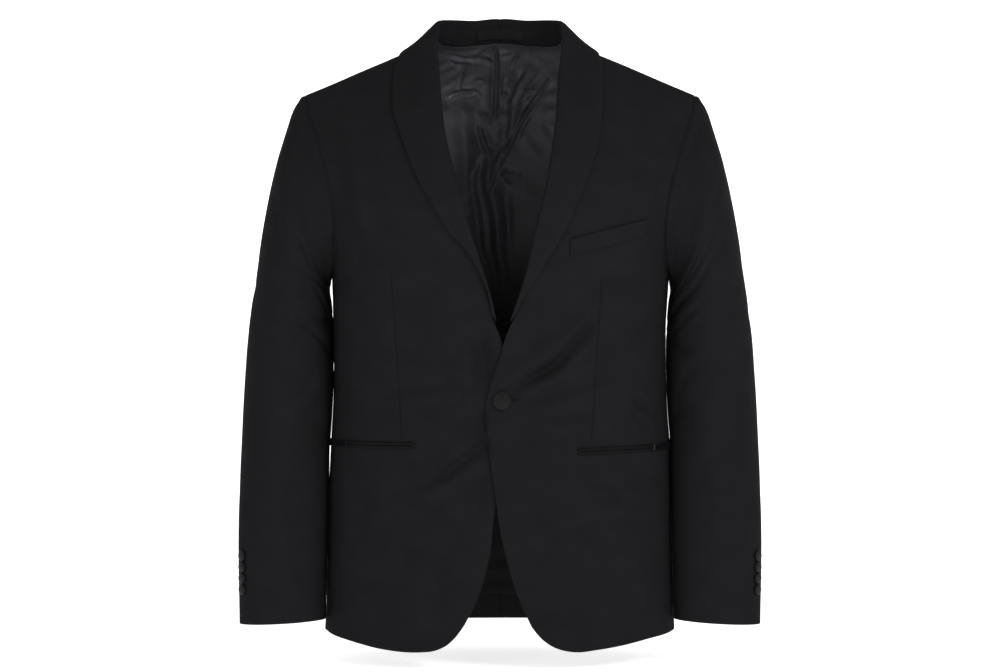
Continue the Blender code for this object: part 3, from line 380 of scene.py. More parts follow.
def cloth(turn, run, out=0.0, side=1):
    """Point a distance out of the body's cloth, which carries its own folds and creases."""
    turn, run = np.broadcast_arrays(np.asarray(turn, float), np.asarray(run, float))
    point = body_surface(turn, run)
    x, z = point[..., 0], point[..., 2]
    back = undulation(x, z) - fold_depth(BACK_FOLDS, x, z) - crease_depth(BACK_CREASES, x, z)
    to_back = ease((np.abs(turn) - BACK_TURN) / BACK_TURN_EASE)
    relief = front_relief(x, z, side) * (1 - to_back) + back * to_back
    return point + body_normal(turn, run) * (relief + out)[..., None]


def turn_at(x, run):
    """Turn of the ring's point at a distance x from the centre."""
    share = np.clip(np.abs(x) / ring_size(level_at(run), "half_width"), 0.0, 0.9999)
    return np.arctan2(share, (1 - share ** SQUARENESS) ** (1 / SQUARENESS)) * np.sign(x)


def on_front(x, z):
    """Turn and run of the front's point at x and z, the run found by halving."""
    low, high = np.full_like(x, BODY_RINGS["level"][0]), np.full_like(x, RIDGE_TOP)
    for _ in range(40):
        level = (low + high) / 2
        above = level + (ridge_height(x) - RIDGE_TOP) * tilt_share(level) > z
        high, low = np.where(above, level, high), np.where(above, low, level)
    run = run_at(level)
    return np.stack([turn_at(x, run), run], -1)


def joined(first, second):
    """Two stretches of an edge as one, their shared point kept once."""
    return np.concatenate([first, second[1:]])


def patch(bottom, top, start, end):
    """Grid of turn and run spread between four edges (a Coons patch)."""
    u = np.linspace(0.0, 1.0, len(bottom))[None, :, None]
    v = np.linspace(0.0, 1.0, len(start))[:, None, None]
    across = start[:, None] * (1 - u) + end[:, None] * u
    upward = bottom[None] * (1 - v) + top[None] * v
    corners = ((bottom[0] * (1 - u) + bottom[-1] * u) * (1 - v)
               + (top[0] * (1 - u) + top[-1] * u) * v)
    return across + upward - corners


def trimmed(grid, gaps):
    """Grid of turn and run pulled in by a length at its bottom, top, start and end edges."""
    point = body_surface(grid[..., 0], grid[..., 1])
    across = np.linalg.norm(np.diff(point, axis=1), axis=-1)
    upward = np.linalg.norm(np.diff(point, axis=0), axis=-1)
    bottom, top, start, end = gaps
    moved = grid.copy()
    moved[0] += (grid[1] - grid[0]) * (bottom / upward[0])[:, None]
    moved[-1] += (grid[-2] - grid[-1]) * (top / upward[-1])[:, None]
    moved[:, 0] += (grid[:, 1] - grid[:, 0]) * (start / across[:, 0])[:, None]
    moved[:, -1] += (grid[:, -2] - grid[:, -1]) * (end / across[:, -1])[:, None]
    return moved


def crowded(first, last, count, crowd):
    """Values from first to last that draw closer together towards the last."""
    return last + (first - last) * np.linspace(1.0, 0.0, count) ** crowd


def armhole(shares):
    """Points of the armhole at shares of its length, in turn and run."""
    whole = curve({"turn": np.radians(ARMHOLE["turn"]), "run": ARMHOLE["run"]}, CURVE_POINTS)
    places = walked(body_surface(whole[:, 0], whole[:, 1]))
    return np.stack([np.interp(shares, places / places[-1], column) for column in whole.T], -1)


def armhole_share(turn):
    """Share of the armhole's length at which it crosses a turn, low under the arm."""
    at = np.linspace(0.0, 1.0, CURVE_POINTS)
    stretch = armhole(at)
    low = stretch[:, 1] > UNDERARM_RUN
    return at[low][np.argmin(np.abs(stretch[low, 0] - np.radians(turn)))]


FRONT_SHARE = armhole_share(FRONT_SEAM_TURN)
BACK_SHARE = armhole_share(BACK_SEAM_TOP_TURN)


def seam(turn, hem_z, top, runs):
    """Points at some runs of the straight seam from the hem up to its point on the armhole."""
    share = (run_at(hem_z) - runs) / (run_at(hem_z) - top[1])
    return np.stack([np.radians(turn) * (1 - share) + top[0] * share, runs], -1)


def collar_stations(side_name, count):
    """Rows of the collar's table from centre back to break, closest round the neck."""
    columns = table(COLLAR_COLUMNS, COLLAR_BACK_ROWS + COLLAR_FRONT_ROWS[side_name])
    places = sum(walked(np.stack([columns[f"{line}_x"], columns[f"{line}_run"]], -1))
                 for line in ("roll", "edge"))
    at = np.linspace(0.0, 1.0, count) ** COLLAR_CROWD * places[-1]
    return {name: smooth(at, places, column) for name, column in columns.items()}


def neckline(side_name):
    """Distance from the centre and run of the line where the panels meet the collar's foot."""
    stations = collar_stations(side_name, CURVE_POINTS)
    across_x = stations["edge_x"] - stations["roll_x"]
    across_run = stations["edge_run"] - stations["roll_run"]
    share = stations["foot"] / np.hypot(across_x, across_run)
    return stations["roll_x"] + share * across_x, stations["roll_run"] + share * across_run


def front_grid(side_name):
    """Few rows and columns of turn and run over a front, trimmed at its seams."""
    side = SIDES[side_name]
    x, run = neckline(side_name)
    ahead = run < 0
    neck_run = -run[ahead]
    neck_turn = turn_at(x[ahead], neck_run)
    edge = curve(FRONT_EDGES[side_name], FRONT_LOW_ROWS)
    low_edge = on_front(edge[:, 0] * side, edge[:, 1])
    high_runs = np.append(low_edge[-1, 1],
                          crowded(neck_run[-1], 0.0, FRONT_HIGH_ROWS - 1, FRONT_CROWD))
    turns = np.interp(high_runs, neck_run, neck_turn)
    turns[0] = low_edge[-1, 0]
    high_edge = np.stack([turns, high_runs], -1)
    seam_top = armhole(FRONT_SHARE)
    low_runs = np.linspace(run_at(SIDE_HEM_Z), seam_top[1], FRONT_LOW_ROWS)
    low_seam = seam(FRONT_SEAM_TURN, SIDE_HEM_Z, seam_top, low_runs)
    high_seam = armhole(crowded(FRONT_SHARE, 0.0, FRONT_HIGH_ROWS, FRONT_CROWD))
    hem = curve(FRONT_HEMS[side_name], FRONT_COLUMNS, HEM_CROWD)
    bottom = on_front(hem[:, 0] * side, hem[:, 1])
    bottom[-1] = low_seam[0]
    top = np.stack([np.linspace(high_edge[-1, 0], high_seam[-1, 0], FRONT_COLUMNS),
                    np.zeros(FRONT_COLUMNS)], -1)
    grid = patch(bottom, top, joined(low_edge, high_edge), joined(low_seam, high_seam))
    lapel_gap = NECK_GAP * (np.arange(len(grid)) >= FRONT_LOW_ROWS)
    return trimmed(grid, (0.0, 0.0, lapel_gap, -SEAM_LAP))


EDGE_STEPS = (0.0, 0.02, 0.06, 0.14)


def fine_places(rows, count, low_share):
    """Places along a grid's rows: close together at both edges, evenly spread between.

    low_share is the share of them that lies in the first half of the rows.
    """
    last = rows - 1
    spread = np.interp(np.linspace(0.0, 1.0, count), [0.0, low_share, 1.0], [0.0, 0.5, 1.0])
    edge = np.array(EDGE_STEPS)
    inner = edge[-1] * 2 + spread * (last - edge[-1] * 4)
    return np.concatenate([edge, inner, last - edge[::-1]])


def finer(grid, rows, columns, low_share=0.5):
    """The same grid with many more rows and columns, on smooth curves through its points."""
    for axis, count, share in ((1, columns, 0.5), (0, rows, low_share)):
        places = fine_places(grid.shape[axis], count, share)
        knots = np.arange(grid.shape[axis], dtype=float)
        grid = np.apply_along_axis(lambda line: smooth(places, knots, line), axis, grid)
    return grid


def new_mesh(points, quads, spot=None, caps=()):
    """Smooth mesh of points, quads and caps, with the cloth's own coordinates of each point."""
    mesh = bpy.data.meshes.new("cloth")
    mesh.from_pydata(points.tolist(), [], quads.tolist() + [cap.tolist() for cap in caps])
    if spot is not None:
        corners = np.empty(len(mesh.loops), dtype=np.int32)
        mesh.loops.foreach_get("vertex_index", corners)
        layer = mesh.uv_layers.new(name="cloth").data
        layer.foreach_set("uv", spot[corners].astype(np.float32).ravel())
    mesh.shade_smooth()
    return mesh


def cloth_mesh(outside, inside, weave, lined=0.0):
    """Closed cloth between two grids of points, with a rolled edge and a cloth UV map.

    The outermost rows sink towards the middle of the wall, and the rim's own middle row stands
    out from the edge by a share of it. weave gives the cloth's own coordinates in metres, and
    the attribute lined tells where its inner face shows satin.
    """
    rows, columns = outside.shape[:2]
    from_edge = [np.minimum(np.arange(count), np.arange(count)[::-1]) for count in (rows, columns)]
    sunk = np.interp(np.minimum.outer(*from_edge), [0, 1, 2], EDGE_SINK)[..., None]
    outside, inside = outside + (inside - outside) * sunk, inside + (outside - inside) * sunk
    index = np.arange(rows * columns).reshape(rows, columns)
    quads = np.stack([index[:-1, :-1], index[:-1, 1:], index[1:, 1:], index[1:, :-1]], -1)
    quads = quads.reshape(-1, 4)
    ring = np.concatenate([index[0, :-1], index[:-1, -1], index[-1, :0:-1], index[:0:-1, 0]])
    inner = np.concatenate([index[1, :-1], index[:-1, -2], index[-2, :0:-1], index[:0:-1, 1]])
    after = np.roll(ring, -1)
    flat_out, flat_in = outside.reshape(-1, 3), inside.reshape(-1, 3)
    wall = np.linalg.norm(flat_out[ring] - flat_in[ring], axis=1, keepdims=True)
    bulge = unit(flat_out[ring] - flat_out[inner]) * wall * EDGE_BULGE
    rim = (flat_out[ring] + flat_in[ring]) / 2 + bulge
    under, middle = rows * columns, 2 * rows * columns + np.arange(len(ring))
    next_middle = np.roll(middle, -1)
    faces = np.concatenate([
        quads, quads[:, ::-1] + under,
        np.stack([after, ring, middle, next_middle], -1),
        np.stack([next_middle, middle, ring + under, after + under], -1)])
    across, upward = outside[:-1, 1:] - outside[:-1, :-1], outside[1:, :-1] - outside[:-1, :-1]
    if (np.cross(across, upward) * (outside - inside)[:-1, :-1]).sum() < 0:
        faces = faces[:, ::-1]
    points, spot = np.concatenate([flat_out, flat_in, rim]), weave.reshape(-1, 2)
    mesh = new_mesh(points, faces, np.concatenate([spot, spot, spot[ring]]))
    satin = np.zeros(len(points), dtype=np.float32)
    satin[under:2 * under] = (lined + np.zeros((rows, columns))).ravel()
    mesh.attributes.new("lined", "FLOAT", "POINT").data.foreach_set("value", satin)
    return mesh


def add_piece(name, mesh, material, slot=None, *nodes):
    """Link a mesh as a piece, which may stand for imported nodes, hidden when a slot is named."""
    piece = bpy.data.objects.new(name, mesh)
    mesh.name = name
    mesh.materials.append(material)
    bpy.context.scene.collection.objects.link(piece)
    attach(piece, "root")
    if slot:
        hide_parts(*nodes)
    return piece


class Nodes:
    """Short way to put shader nodes into a tree and link them."""

    def __init__(self, tree):
        self.tree = tree

    def feed(self, node, inputs):
        """Give a node's inputs, by place or name, values or other nodes' outputs."""
        for key, value in inputs.items():
            if isinstance(value, bpy.types.NodeSocket):
                self.tree.links.new(value, node.inputs[key])
            else:
                node.inputs[key].default_value = value
        return node

    def add(self, kind, *values, settings=None, **inputs):
        """Outputs of a new node, from its settings and its inputs in order or by name."""
        node = self.tree.nodes.new("ShaderNode" + kind)
        for name, value in (settings or {}).items():
            setattr(node, name, value)
        named = {name.replace("_", " "): value for name, value in inputs.items()}
        return self.feed(node, {**dict(enumerate(values)), **named}).outputs

    def math(self, operation, *values):
        return self.add("Math", *values, settings={"operation": operation})[0]

    def vector(self, operation, *values, **inputs):
        """Vector or number from a Vector Math node."""
        outputs = self.add("VectorMath", *values, settings={"operation": operation}, **inputs)
        return outputs["Value" if operation in ("DOT_PRODUCT", "LENGTH") else "Vector"]

    def blend(self, share, first, second):
        """Colour between two colours by a share."""
        node = self.tree.nodes.new("ShaderNodeMix")
        node.data_type = "RGBA"
        return self.feed(node, {0: share, 6: first, 7: second}).outputs[2]

    def spread(self, value, low, high, first=0.0, last=1.0, kind="LINEAR"):
        """A value's way from low to high, drawn out from first to last."""
        return self.add("MapRange", settings={"interpolation_type": kind}, Value=value,
                        From_Min=low, From_Max=high, To_Min=first, To_Max=last)[0]

    def noise(self, at, scale, detail):
        return self.add("TexNoise", Vector=at, Scale=scale, Detail=detail)["Fac"]

    def bumped(self, height, strength, distance):
        """Normal of a surface with a fine relief."""
        return self.add("Bump", Height=height, Strength=strength, Distance=distance)[0]

    def cloth(self):
        """The cloth's own coordinates in metres."""
        return self.add("UVMap", settings={"uv_map": "cloth"})["UV"]

    def axes(self):
        """The object's own coordinates, one by one."""
        return self.add("SeparateXYZ", self.add("TexCoord")["Object"])


def new_material(name):
    """Empty material with its nodes and its shader."""
    material = bpy.data.materials.new(name)
    material.use_nodes = True
    return material, Nodes(material.node_tree), material.node_tree.nodes["Principled BSDF"]


def new_group(name, inputs, outputs):
    """Empty shader group with named sockets, and its two ends."""
    tree = bpy.data.node_groups.new(name, "ShaderNodeTree")
    for label, kind in inputs:
        tree.interface.new_socket(label, in_out="INPUT", socket_type=f"NodeSocket{kind}")
    for label, kind in outputs:
        tree.interface.new_socket(label, in_out="OUTPUT", socket_type=f"NodeSocket{kind}")
    return Nodes(tree), tree.nodes.new("NodeGroupInput"), tree.nodes.new("NodeGroupOutput")


def new_weave(name):
    """Empty group of a weave: its nodes and end, the cloth's coordinates, and those in threads."""
    nodes, start, end = new_group(name, (("Cloth", "Vector"), ("Threads", "Float")),
                                  (("Height", "Float"), ("Tone", "Float")))
    at = start.outputs["Cloth"]
    return nodes, end, at, nodes.vector("SCALE", at, Scale=start.outputs["Threads"])


def make_twill_group():
    """Worsted twill: diagonal ribs a thread apart, crossed by the weft, with uneven fibres."""
    nodes, end, at, threads = new_weave("worsted_twill")
    u, v, _ = nodes.add("SeparateXYZ", threads)
    ribs, weft = [nodes.math("SINE", nodes.math("MULTIPLY", nodes.math(way, u, v), 2 * np.pi))
                  for way in ("ADD", "SUBTRACT")]
    woven = nodes.math("MULTIPLY_ADD", weft, 0.35, ribs)
    height = nodes.math("MULTIPLY_ADD", woven, 0.25, nodes.noise(threads, 0.45, 3.0))
    slow = nodes.math("MULTIPLY", nodes.noise(at, 34.0, 4.0), 0.35)
    nodes.feed(end, {"Height": height, "Tone": nodes.math("MULTIPLY_ADD", height, 0.65, slow)})
    return nodes.tree


def make_sewn_line_group():
    """Mask that is 1 on the straight line from Start to End and 0 past its half width.

    The distance is taken to the nearest point of the line, start + h (end - start), where h is
    the share of the way along it, kept between 0 and 1.
    """
    nodes, start, end = new_group("sewn_line", (
        ("Point", "Vector"), ("Start", "Vector"), ("End", "Vector"), ("Width", "Float")),
        (("Mask", "Float"),))
    at, first, last, width = start.outputs[:4]
    off, way = nodes.vector("SUBTRACT", at, first), nodes.vector("SUBTRACT", last, first)
    share = nodes.math("DIVIDE", nodes.vector("DOT_PRODUCT", off, way),
                       nodes.vector("DOT_PRODUCT", way, way))
    share = nodes.math("MINIMUM", nodes.math("MAXIMUM", share, 0.0), 1.0)
    away = nodes.vector("LENGTH", nodes.vector("SUBTRACT", off,
                                               nodes.vector("SCALE", way, Scale=share)))
    inside = nodes.math("SUBTRACT", 1.0, nodes.math("DIVIDE", away, width))
    nodes.feed(end, {"Mask": nodes.math("MAXIMUM", inside, 0.0)})
    return nodes.tree


TWILL = make_twill_group()
SEWN_LINE = make_sewn_line_group()
WOOL_DARK, WOOL_LIGHT = (0.0092, 0.0092, 0.0101, 1.0), (0.0160, 0.0160, 0.0176, 1.0)
LINING_DARK, LINING_LIGHT = (0.0450, 0.0437, 0.0512, 1.0), (0.0760, 0.0744, 0.0858, 1.0)
THREADS = 2300.0
SEAM_SHADE = (0.0066, 0.0066, 0.0073, 1.0)


def make_worsted(name, lines=()):
    """Black worsted with a soft bloom, satin on its inner face, darker along its sewn lines.

    Each line is a start, an end and a half width, in x and z of the object.
    """
    material, nodes, shader = new_material(name)
    twill = nodes.add("Group", settings={"node_tree": TWILL}, Cloth=nodes.cloth(), Threads=THREADS)
    lined = nodes.add("Attribute", settings={"attribute_name": "lined"})["Fac"]
    inner = nodes.math("GREATER_THAN", lined, 0.75)
    tone = nodes.spread(twill["Tone"], 0.30, 0.75)
    colour, height = nodes.blend(tone, WOOL_DARK, WOOL_LIGHT), twill["Height"]
    if lines:
        x, _, z = nodes.axes()
        at, mask = nodes.add("CombineXYZ", x, z)[0], 0.0
        for start, end, width in lines:
            line = nodes.add("Group", settings={"node_tree": SEWN_LINE}, Point=at,
                             Start=(*start, 0.0), End=(*end, 0.0), Width=width)
            mask = nodes.math("MAXIMUM", line["Mask"], mask)
        mask = nodes.math("MULTIPLY", mask, nodes.math("SUBTRACT", 1.0, inner))
        colour = nodes.blend(mask, colour, SEAM_SHADE)
        height = nodes.math("MULTIPLY_ADD", mask, -1.0, height)
    satin = nodes.blend(tone, LINING_DARK, LINING_LIGHT)
    nodes.feed(shader, {
        "Base Color": nodes.blend(inner, colour, satin),
        "Roughness": nodes.math("MULTIPLY_ADD", inner, -0.34, 0.74),
        "Normal": nodes.bumped(height, 0.22, 0.0004), "Specular IOR Level": 0.008,
        "Sheen Weight": 0.003, "Sheen Roughness": 0.45, "Sheen Tint": (0.78, 0.84, 1.0, 1.0)})
    return material


WEAVE_RADIUS = 0.165
EDGE_SINK, EDGE_BULGE = (0.30, 0.10, 0.0), 0.20
FRONT_FINE = (236, 104)
FACING_TURN, TURN_UP_RUN = 0.62, 0.650


def body_wall(grid, fine, side, facing=FACING_TURN):
    """Cloth on the body over a coarse grid of turn and run, drawn finer.

    Its inner face is lined with satin past the facing's turn and above the hem's turn-up.
    """
    grid = finer(grid, *fine) * np.array([side, 1.0])
    turn, run = grid[..., 0], grid[..., 1]
    weave = np.stack([turn * WEAVE_RADIUS, run], -1)
    lined = (np.abs(turn) > facing) & (run < TURN_UP_RUN)
    return cloth_mesh(cloth(turn, run, 0.0, side), cloth(turn, run, -SHELL_WALL, side), weave,
                      lined)


def dart_lines(side_name):
    """The two stretches of a dart as lines for the worsted, narrow as a pressed seam."""
    low, middle, high = DARTS[side_name]
    return ((low, middle, 0.0010), (middle, high, 0.0010))


for side_name, side in SIDES.items():
    name = f"front_{side_name}"
    worsted = make_worsted(f"{name}_worsted", dart_lines(side_name))
    mesh = body_wall(front_grid(side_name), FRONT_FINE, side)
    front = add_piece(name + "_cloth", mesh, worsted, "wool", name)

# A side panel under each arm joins front and back, cut from the same worsted from the hem up to
# the bottom of the armhole, and sewn with plain pressed seams.
SIDE_COLUMNS, BACK_LOW_ROWS = 5, 10
LINING_HEM_Z = -0.654
SIDE_FINE = (150, 30)


def back_runs(seam_top):
    """Runs of the rows that the back and the side panel share: hem, lining's hem and up."""
    upper = np.linspace(run_at(LINING_HEM_Z), seam_top[1], BACK_LOW_ROWS)
    return np.append(run_at(BACK_HEM_Z), upper)


def side_grid():
    """Few rows and columns of turn and run over a side panel."""
    top = armhole(np.linspace(FRONT_SHARE, BACK_SHARE, SIDE_COLUMNS))
    end = seam(BACK_SEAM_TURN, BACK_HEM_Z, top[-1], back_runs(top[-1]))
    start_runs = np.linspace(run_at(SIDE_HEM_Z), top[0, 1], len(end))
    start = seam(FRONT_SEAM_TURN, SIDE_HEM_Z, top[0], start_runs)
    bottom = np.linspace(start[0], end[0], SIDE_COLUMNS)
    return trimmed(patch(bottom, top, start, end), (0.0, SEAM_GAP / 2, -SEAM_LAP, -SEAM_LAP))


plain_worsted = make_worsted("plain_worsted")
for side_name, side in SIDES.items():
    name = f"side_panel_{side_name}"
    mesh = body_wall(side_grid(), SIDE_FINE, side)
    panel = add_piece(name + "_cloth", mesh, plain_worsted, "wool", name)

# The back is cut in two halves with a seam down the centre, from the hem to the neck and the
# shoulders, and hangs in soft folds behind the armholes and across the waist.
BACK_COLUMNS, SHOULDER_COLUMNS, BACK_HIGH_ROWS = 12, 6, 11
BACK_FINE = (170, 80)


def back_grid(side_name):
    """Few rows and columns over half of the back: hem, lining's hem, then up to the neck."""
    x, run = neckline(side_name)
    behind = run >= 0
    neck = np.stack([np.pi - turn_at(x[behind], run[behind]), run[behind]], -1)[::-1]
    seam_top = armhole(BACK_SHARE)
    low_runs = back_runs(seam_top)
    low_seam = seam(BACK_SEAM_TURN, BACK_HEM_Z, seam_top, low_runs)
    high_seam = armhole(crowded(BACK_SHARE, 1.0, BACK_HIGH_ROWS, BACK_CROWD))
    high_runs = crowded(seam_top[1], neck[-1, 1], BACK_HIGH_ROWS, BACK_CROWD)
    runs = joined(low_runs, high_runs)
    centre = np.stack([np.full_like(runs, np.pi), runs], -1)
    bottom = np.linspace(low_seam[0], centre[0], BACK_COLUMNS)
    shoulder = np.stack([np.linspace(high_seam[-1, 0], neck[0, 0], SHOULDER_COLUMNS),
                         np.zeros(SHOULDER_COLUMNS)], -1)
    at = np.linspace(0, len(neck) - 1, BACK_COLUMNS - SHOULDER_COLUMNS + 1)
    around = np.stack([np.interp(at, np.arange(len(neck)), column) for column in neck.T], -1)
    return patch(bottom, joined(shoulder, around), joined(low_seam, high_seam), centre)


CENTRE_SEAM = ((0.0, 0.030), (0.0, -0.700), 0.0010)
back_worsted = make_worsted("back_worsted", (CENTRE_SEAM,))
for side_name, side in SIDES.items():
    name = f"back_{side_name}"
    neck_gap = NECK_GAP * (np.arange(BACK_COLUMNS) >= SHOULDER_COLUMNS - 1)
    grid = trimmed(back_grid(side_name), (0.0, neck_gap, -SEAM_LAP, -SEAM_LAP))
    mesh = body_wall(grid, BACK_FINE, side, np.pi)
    back = add_piece(name + "_cloth", mesh, back_worsted, "wool", name)

# The satin lining of the back hangs loose inside it in two halves with a seam down the centre.
# It is cut wider than the back, so it lies in sharp diagonal folds and small puckers, and it is
# felled shorter than the hem.
LINING_WALL, LINING_GAP, LINING_INSET = 0.0010, 0.0010, 0.003
LINING_HANG = 0.0030
LINING_OUTWARD = 0.0030
LINING_REACH, LINING_SEWN, LINING_LOOSE = 0.0035, 0.0003, 0.018
LINING_CRISP, LINING_SEWN_RELIEF = 1.35, 0.15
LINING_FINE, LINING_LOW_SHARE = (204, 104), 0.36
# Painted shade on the lining, darker towards the hem and under the collar's stand: the levels
# between which its colour fades into the jacket's own shadow, and the share it keeps there.
LINING_LOW_SHADE, LINING_STAND_SHADE = (-0.360, -0.170, 0.12), (0.008, -0.006, 0.60)
LINING_DULL, LINING_SATIN = (-0.340, -0.200, 1.0), ((0.38, 0.26), 2600.0, 0.12)
LINING_CREASES = creases("""
    2.4 3  58 -31  44 -51  31 -68  23 -83  14 -102  7 -116
    5 -4.2  13 -67  10 -83  5 -101  -3 -114  -12 -128  -17 -144
    5.5 4.5  36 -18  24 -38  18 -55  14 -73  10 -91  -1 -114  -8 -129
    2.8 3  47 -16  35 -29  25 -41
    2.6 2.6  34 -20  24 -35
    2.2 1.8  23 -46  31 -41  53 -40
    3.2 2.8  47 10  38 4  33 -5
    5.2 -3.4  47 1  58 -2
    2.6 2.4  20 -1  14 -12
    2.8 2.6  -40 -9  -46 -20  -51 -35
    2.2 2.4  -65 5  -48 1
    2.2 2.6  -63 -1  -47 -4  -28 -6
    2.2 2  -60 -8  -46 -12
    2.6 -2.4  -37 1  -28 4  -16 10  -8 5
    2.6 -2  -3 3  9 4  18 8
    3 1.8  -36 -1  -7 -9
    2.4 2.6  -61 -47  -46 -43  -31 -41  -26 -46
    2 1.8  -48 -41  -39 -43  -32 -41
    2.2 1.4  -29 -29  -22 -29
    2.6 1.8  -2 -46  4 -45  11 -47
    3 2.6  -26 -85  -18 -109  -11 -120
    3 1.8  -24 -68  -14 -74
    5.4 3.8  -21 -133  -26 -145  -24 -160  -19 -185  -16 -207  -15 -229  -8 -251  -4 -267 \
    -6 -285  -7 -302
    9 -2.8  -4 -149  -10 -164  -4 -180  0 -208  1 -229  0 -273
    1.8 1.8  4 -142  24 -140
    1.8 1.8  4 -142  24 -145
    1.8 1.8  4 -142  15 -154
    1.8 1.4  4 -142  7 -134
    1.8 1.4  4 -142  -8 -145
    2.4 1.6  -8 -134  -9 -149  -15 -164
    6 2.2  6 -162  7 -208  10 -258
    10 2.2  -46 -70  -43 -120  -38 -170
    2.4 4.2  -6 10  -4 -10  -5 -40  -6 -72
    8 2  -30 -606  -12 -616  10 -613  34 -622
    7 1.8  -20 -634  4 -638  30 -632
    12 3.4  -70 -330  -60 -420  -64 -520
    12 3.4  60 -320  54 -410  58 -530
    12 2.6  -110 -120  -100 -200  -104 -300
    12 2.6  110 -110  100 -190  100 -310
""")


def puckers(x, z):
    """Small uneven puckers of loose satin, crossing sine waves bent by slower ones."""
    bent_x = x + 0.008 * np.sin(70 * z + 20 * x)
    bent_z = z + 0.010 * np.sin(55 * x - 31 * z)
    height = 0.00075 * np.sin(190 * bent_x + 95 * bent_z) * np.sin(60 * bent_z - 40 * bent_x)
    height += (0.00055 * np.sin(330 * bent_z - 140 * bent_x)
               * np.sin(85 * bent_x + 30 * bent_z + 1.0))
    return height * (0.5 + ease((z + 0.12) / 0.10))


def make_satin_group():
    """Satin: long smooth floats along the warp, with fine uneven threads across them."""
    nodes, end, at, threads = new_weave("satin_floats")
    floats = nodes.noise(nodes.vector("MULTIPLY", threads, (1.0, 0.12, 1.0)), 0.6, 2.0)
    slow = nodes.math("MULTIPLY", nodes.noise(at, 26.0, 3.0), 0.65)
    nodes.feed(end, {"Height": floats, "Tone": nodes.math("MULTIPLY_ADD", floats, 0.35, slow)})
    return nodes.tree


SATIN = make_satin_group()
BLACK = (0.0, 0.0, 0.0, 1.0)


def make_satin(name, dark, light, gloss, threads, strength, painted_shades=(), dull=None):
    """Satin between two colours, with its gloss, its threads to a metre and its relief.

    The gloss is a roughness and a specular level. Each painted shade is a level where the satin
    keeps only a share of its colour, the level where it has all of it, and that share. dull gives
    in the same way its roughness in the deep.
    """
    material, nodes, shader = new_material(name)
    satin = nodes.add("Group", settings={"node_tree": SATIN}, Cloth=nodes.cloth(), Threads=threads)
    colour, rough = nodes.blend(nodes.spread(satin["Tone"], 0.32, 0.68), dark, light), gloss[0]
    # Each painted shade darkens the colour towards black between two heights of the object.
    for low, high, share in painted_shades:
        kept = nodes.spread(nodes.axes()["Z"], low, high, share, 1.0, "SMOOTHSTEP")
        colour = nodes.blend(kept, BLACK, colour)
    if dull:
        rough = nodes.spread(nodes.axes()["Z"], *dull, gloss[0], "SMOOTHSTEP")
    nodes.feed(shader, {
        "Base Color": colour, "Roughness": rough, "Specular IOR Level": gloss[1],
        "Normal": nodes.bumped(satin["Height"], strength, 0.0003),
        "Sheen Weight": 0.01, "Sheen Tint": (0.80, 0.78, 1.0, 1.0)})
    return material


lining_satin = make_satin("lining_satin", LINING_DARK, LINING_LIGHT, *LINING_SATIN,
                          (LINING_LOW_SHADE, LINING_STAND_SHADE), LINING_DULL)
for side_name, side in SIDES.items():
    name = f"back_lining_{side_name}"
    at_neck = np.arange(BACK_COLUMNS) >= SHOULDER_COLUMNS
    trims = (0.0, np.where(at_neck, -LINING_REACH, LINING_INSET), LINING_INSET, -SEAM_LAP)
    coarse = trimmed(back_grid(side_name)[1:], trims)
    grid = finer(coarse, *LINING_FINE, LINING_LOW_SHARE)
    turn, run = grid[..., 0] * side, grid[..., 1]
    loose = ease((run - grid[-1, :, 1]) / LINING_LOOSE)
    base = cloth(turn, run, -SHELL_WALL - LINING_SEWN - (LINING_GAP + LINING_HANG) * loose, side)
    inward = -body_normal(turn, run)
    x, z = base[..., 0], base[..., 2]
    deep = LINING_CRISP * crease_depth(LINING_CREASES, x, z) + puckers(x, z)
    kept = LINING_SEWN_RELIEF + (1 - LINING_SEWN_RELIEF) * loose
    face = base - inward * (np.minimum(deep, LINING_OUTWARD) * kept)[..., None]
    weave = np.stack([turn * WEAVE_RADIUS, run], -1)
    mesh = cloth_mesh(face, face + inward * LINING_WALL, weave)
    lining = add_piece(name + "_satin", mesh, lining_satin, "lining_satin", name)

# The shawl collar is cut in two halves of the same worsted, seamed at the centre back. Each runs
# from its stand behind the neck over the roll and down the lapel in one curve to the break.
COLLAR_WALL, COLLAR_GAP, COLLAR_LEAN, STAND_FULL = 0.0018, 0.0020, 0.15, 0.016
COLLAR_FINE = (180, 58)
# Section from the foot over the roll to the edge: share of the way out to the foot, share of the
# way out to the edge, layer (-1 under, 1 over) and share of the stand's height.
COLLAR_SECTION = table("foot fall layer rise", """
    1 0 -1 0  .55 0 -1 .38  .2 0 -1 .78  .08 0 -.75 .94  0 0 0 1.02  0 .02 .75 .97  0 .07 1 .9
    0 .2 1 .7  0 .4 1 .45  0 .62 1 .23  0 .83 1 .08  0 1 1 0
""", 1)
ROLL_SWELL = 0.0016
STAND_SEAM_RISE, STAND_SEAM_WIDTH, STAND_SEAM_DEPTH = 0.70, 0.05, 0.0007
# Runs in front of the shoulder at which the lapel's swell begins and ends, with their eases.
LAPEL_START, LAPEL_START_EASE, LAPEL_BREAK, LAPEL_BREAK_EASE = 0.05, 0.08, 0.37, 0.05


def over_shoulder(x, run, side, out=0.0):
    """Cloth point by its distance from the centre and its run, positive behind."""
    turn = turn_at(x, np.abs(run))
    turn = np.where(run > 0, np.pi - turn, turn)
    return cloth(turn * side, np.abs(run), out, side)


def fall_direction(station, side):
    """Level direction from the collar's roll towards its edge."""
    away = (over_shoulder(station["edge_x"], station["edge_run"], side)
            - over_shoulder(station["roll_x"], station["roll_run"], side))
    away[..., 2] = 0.0
    return unit(away)


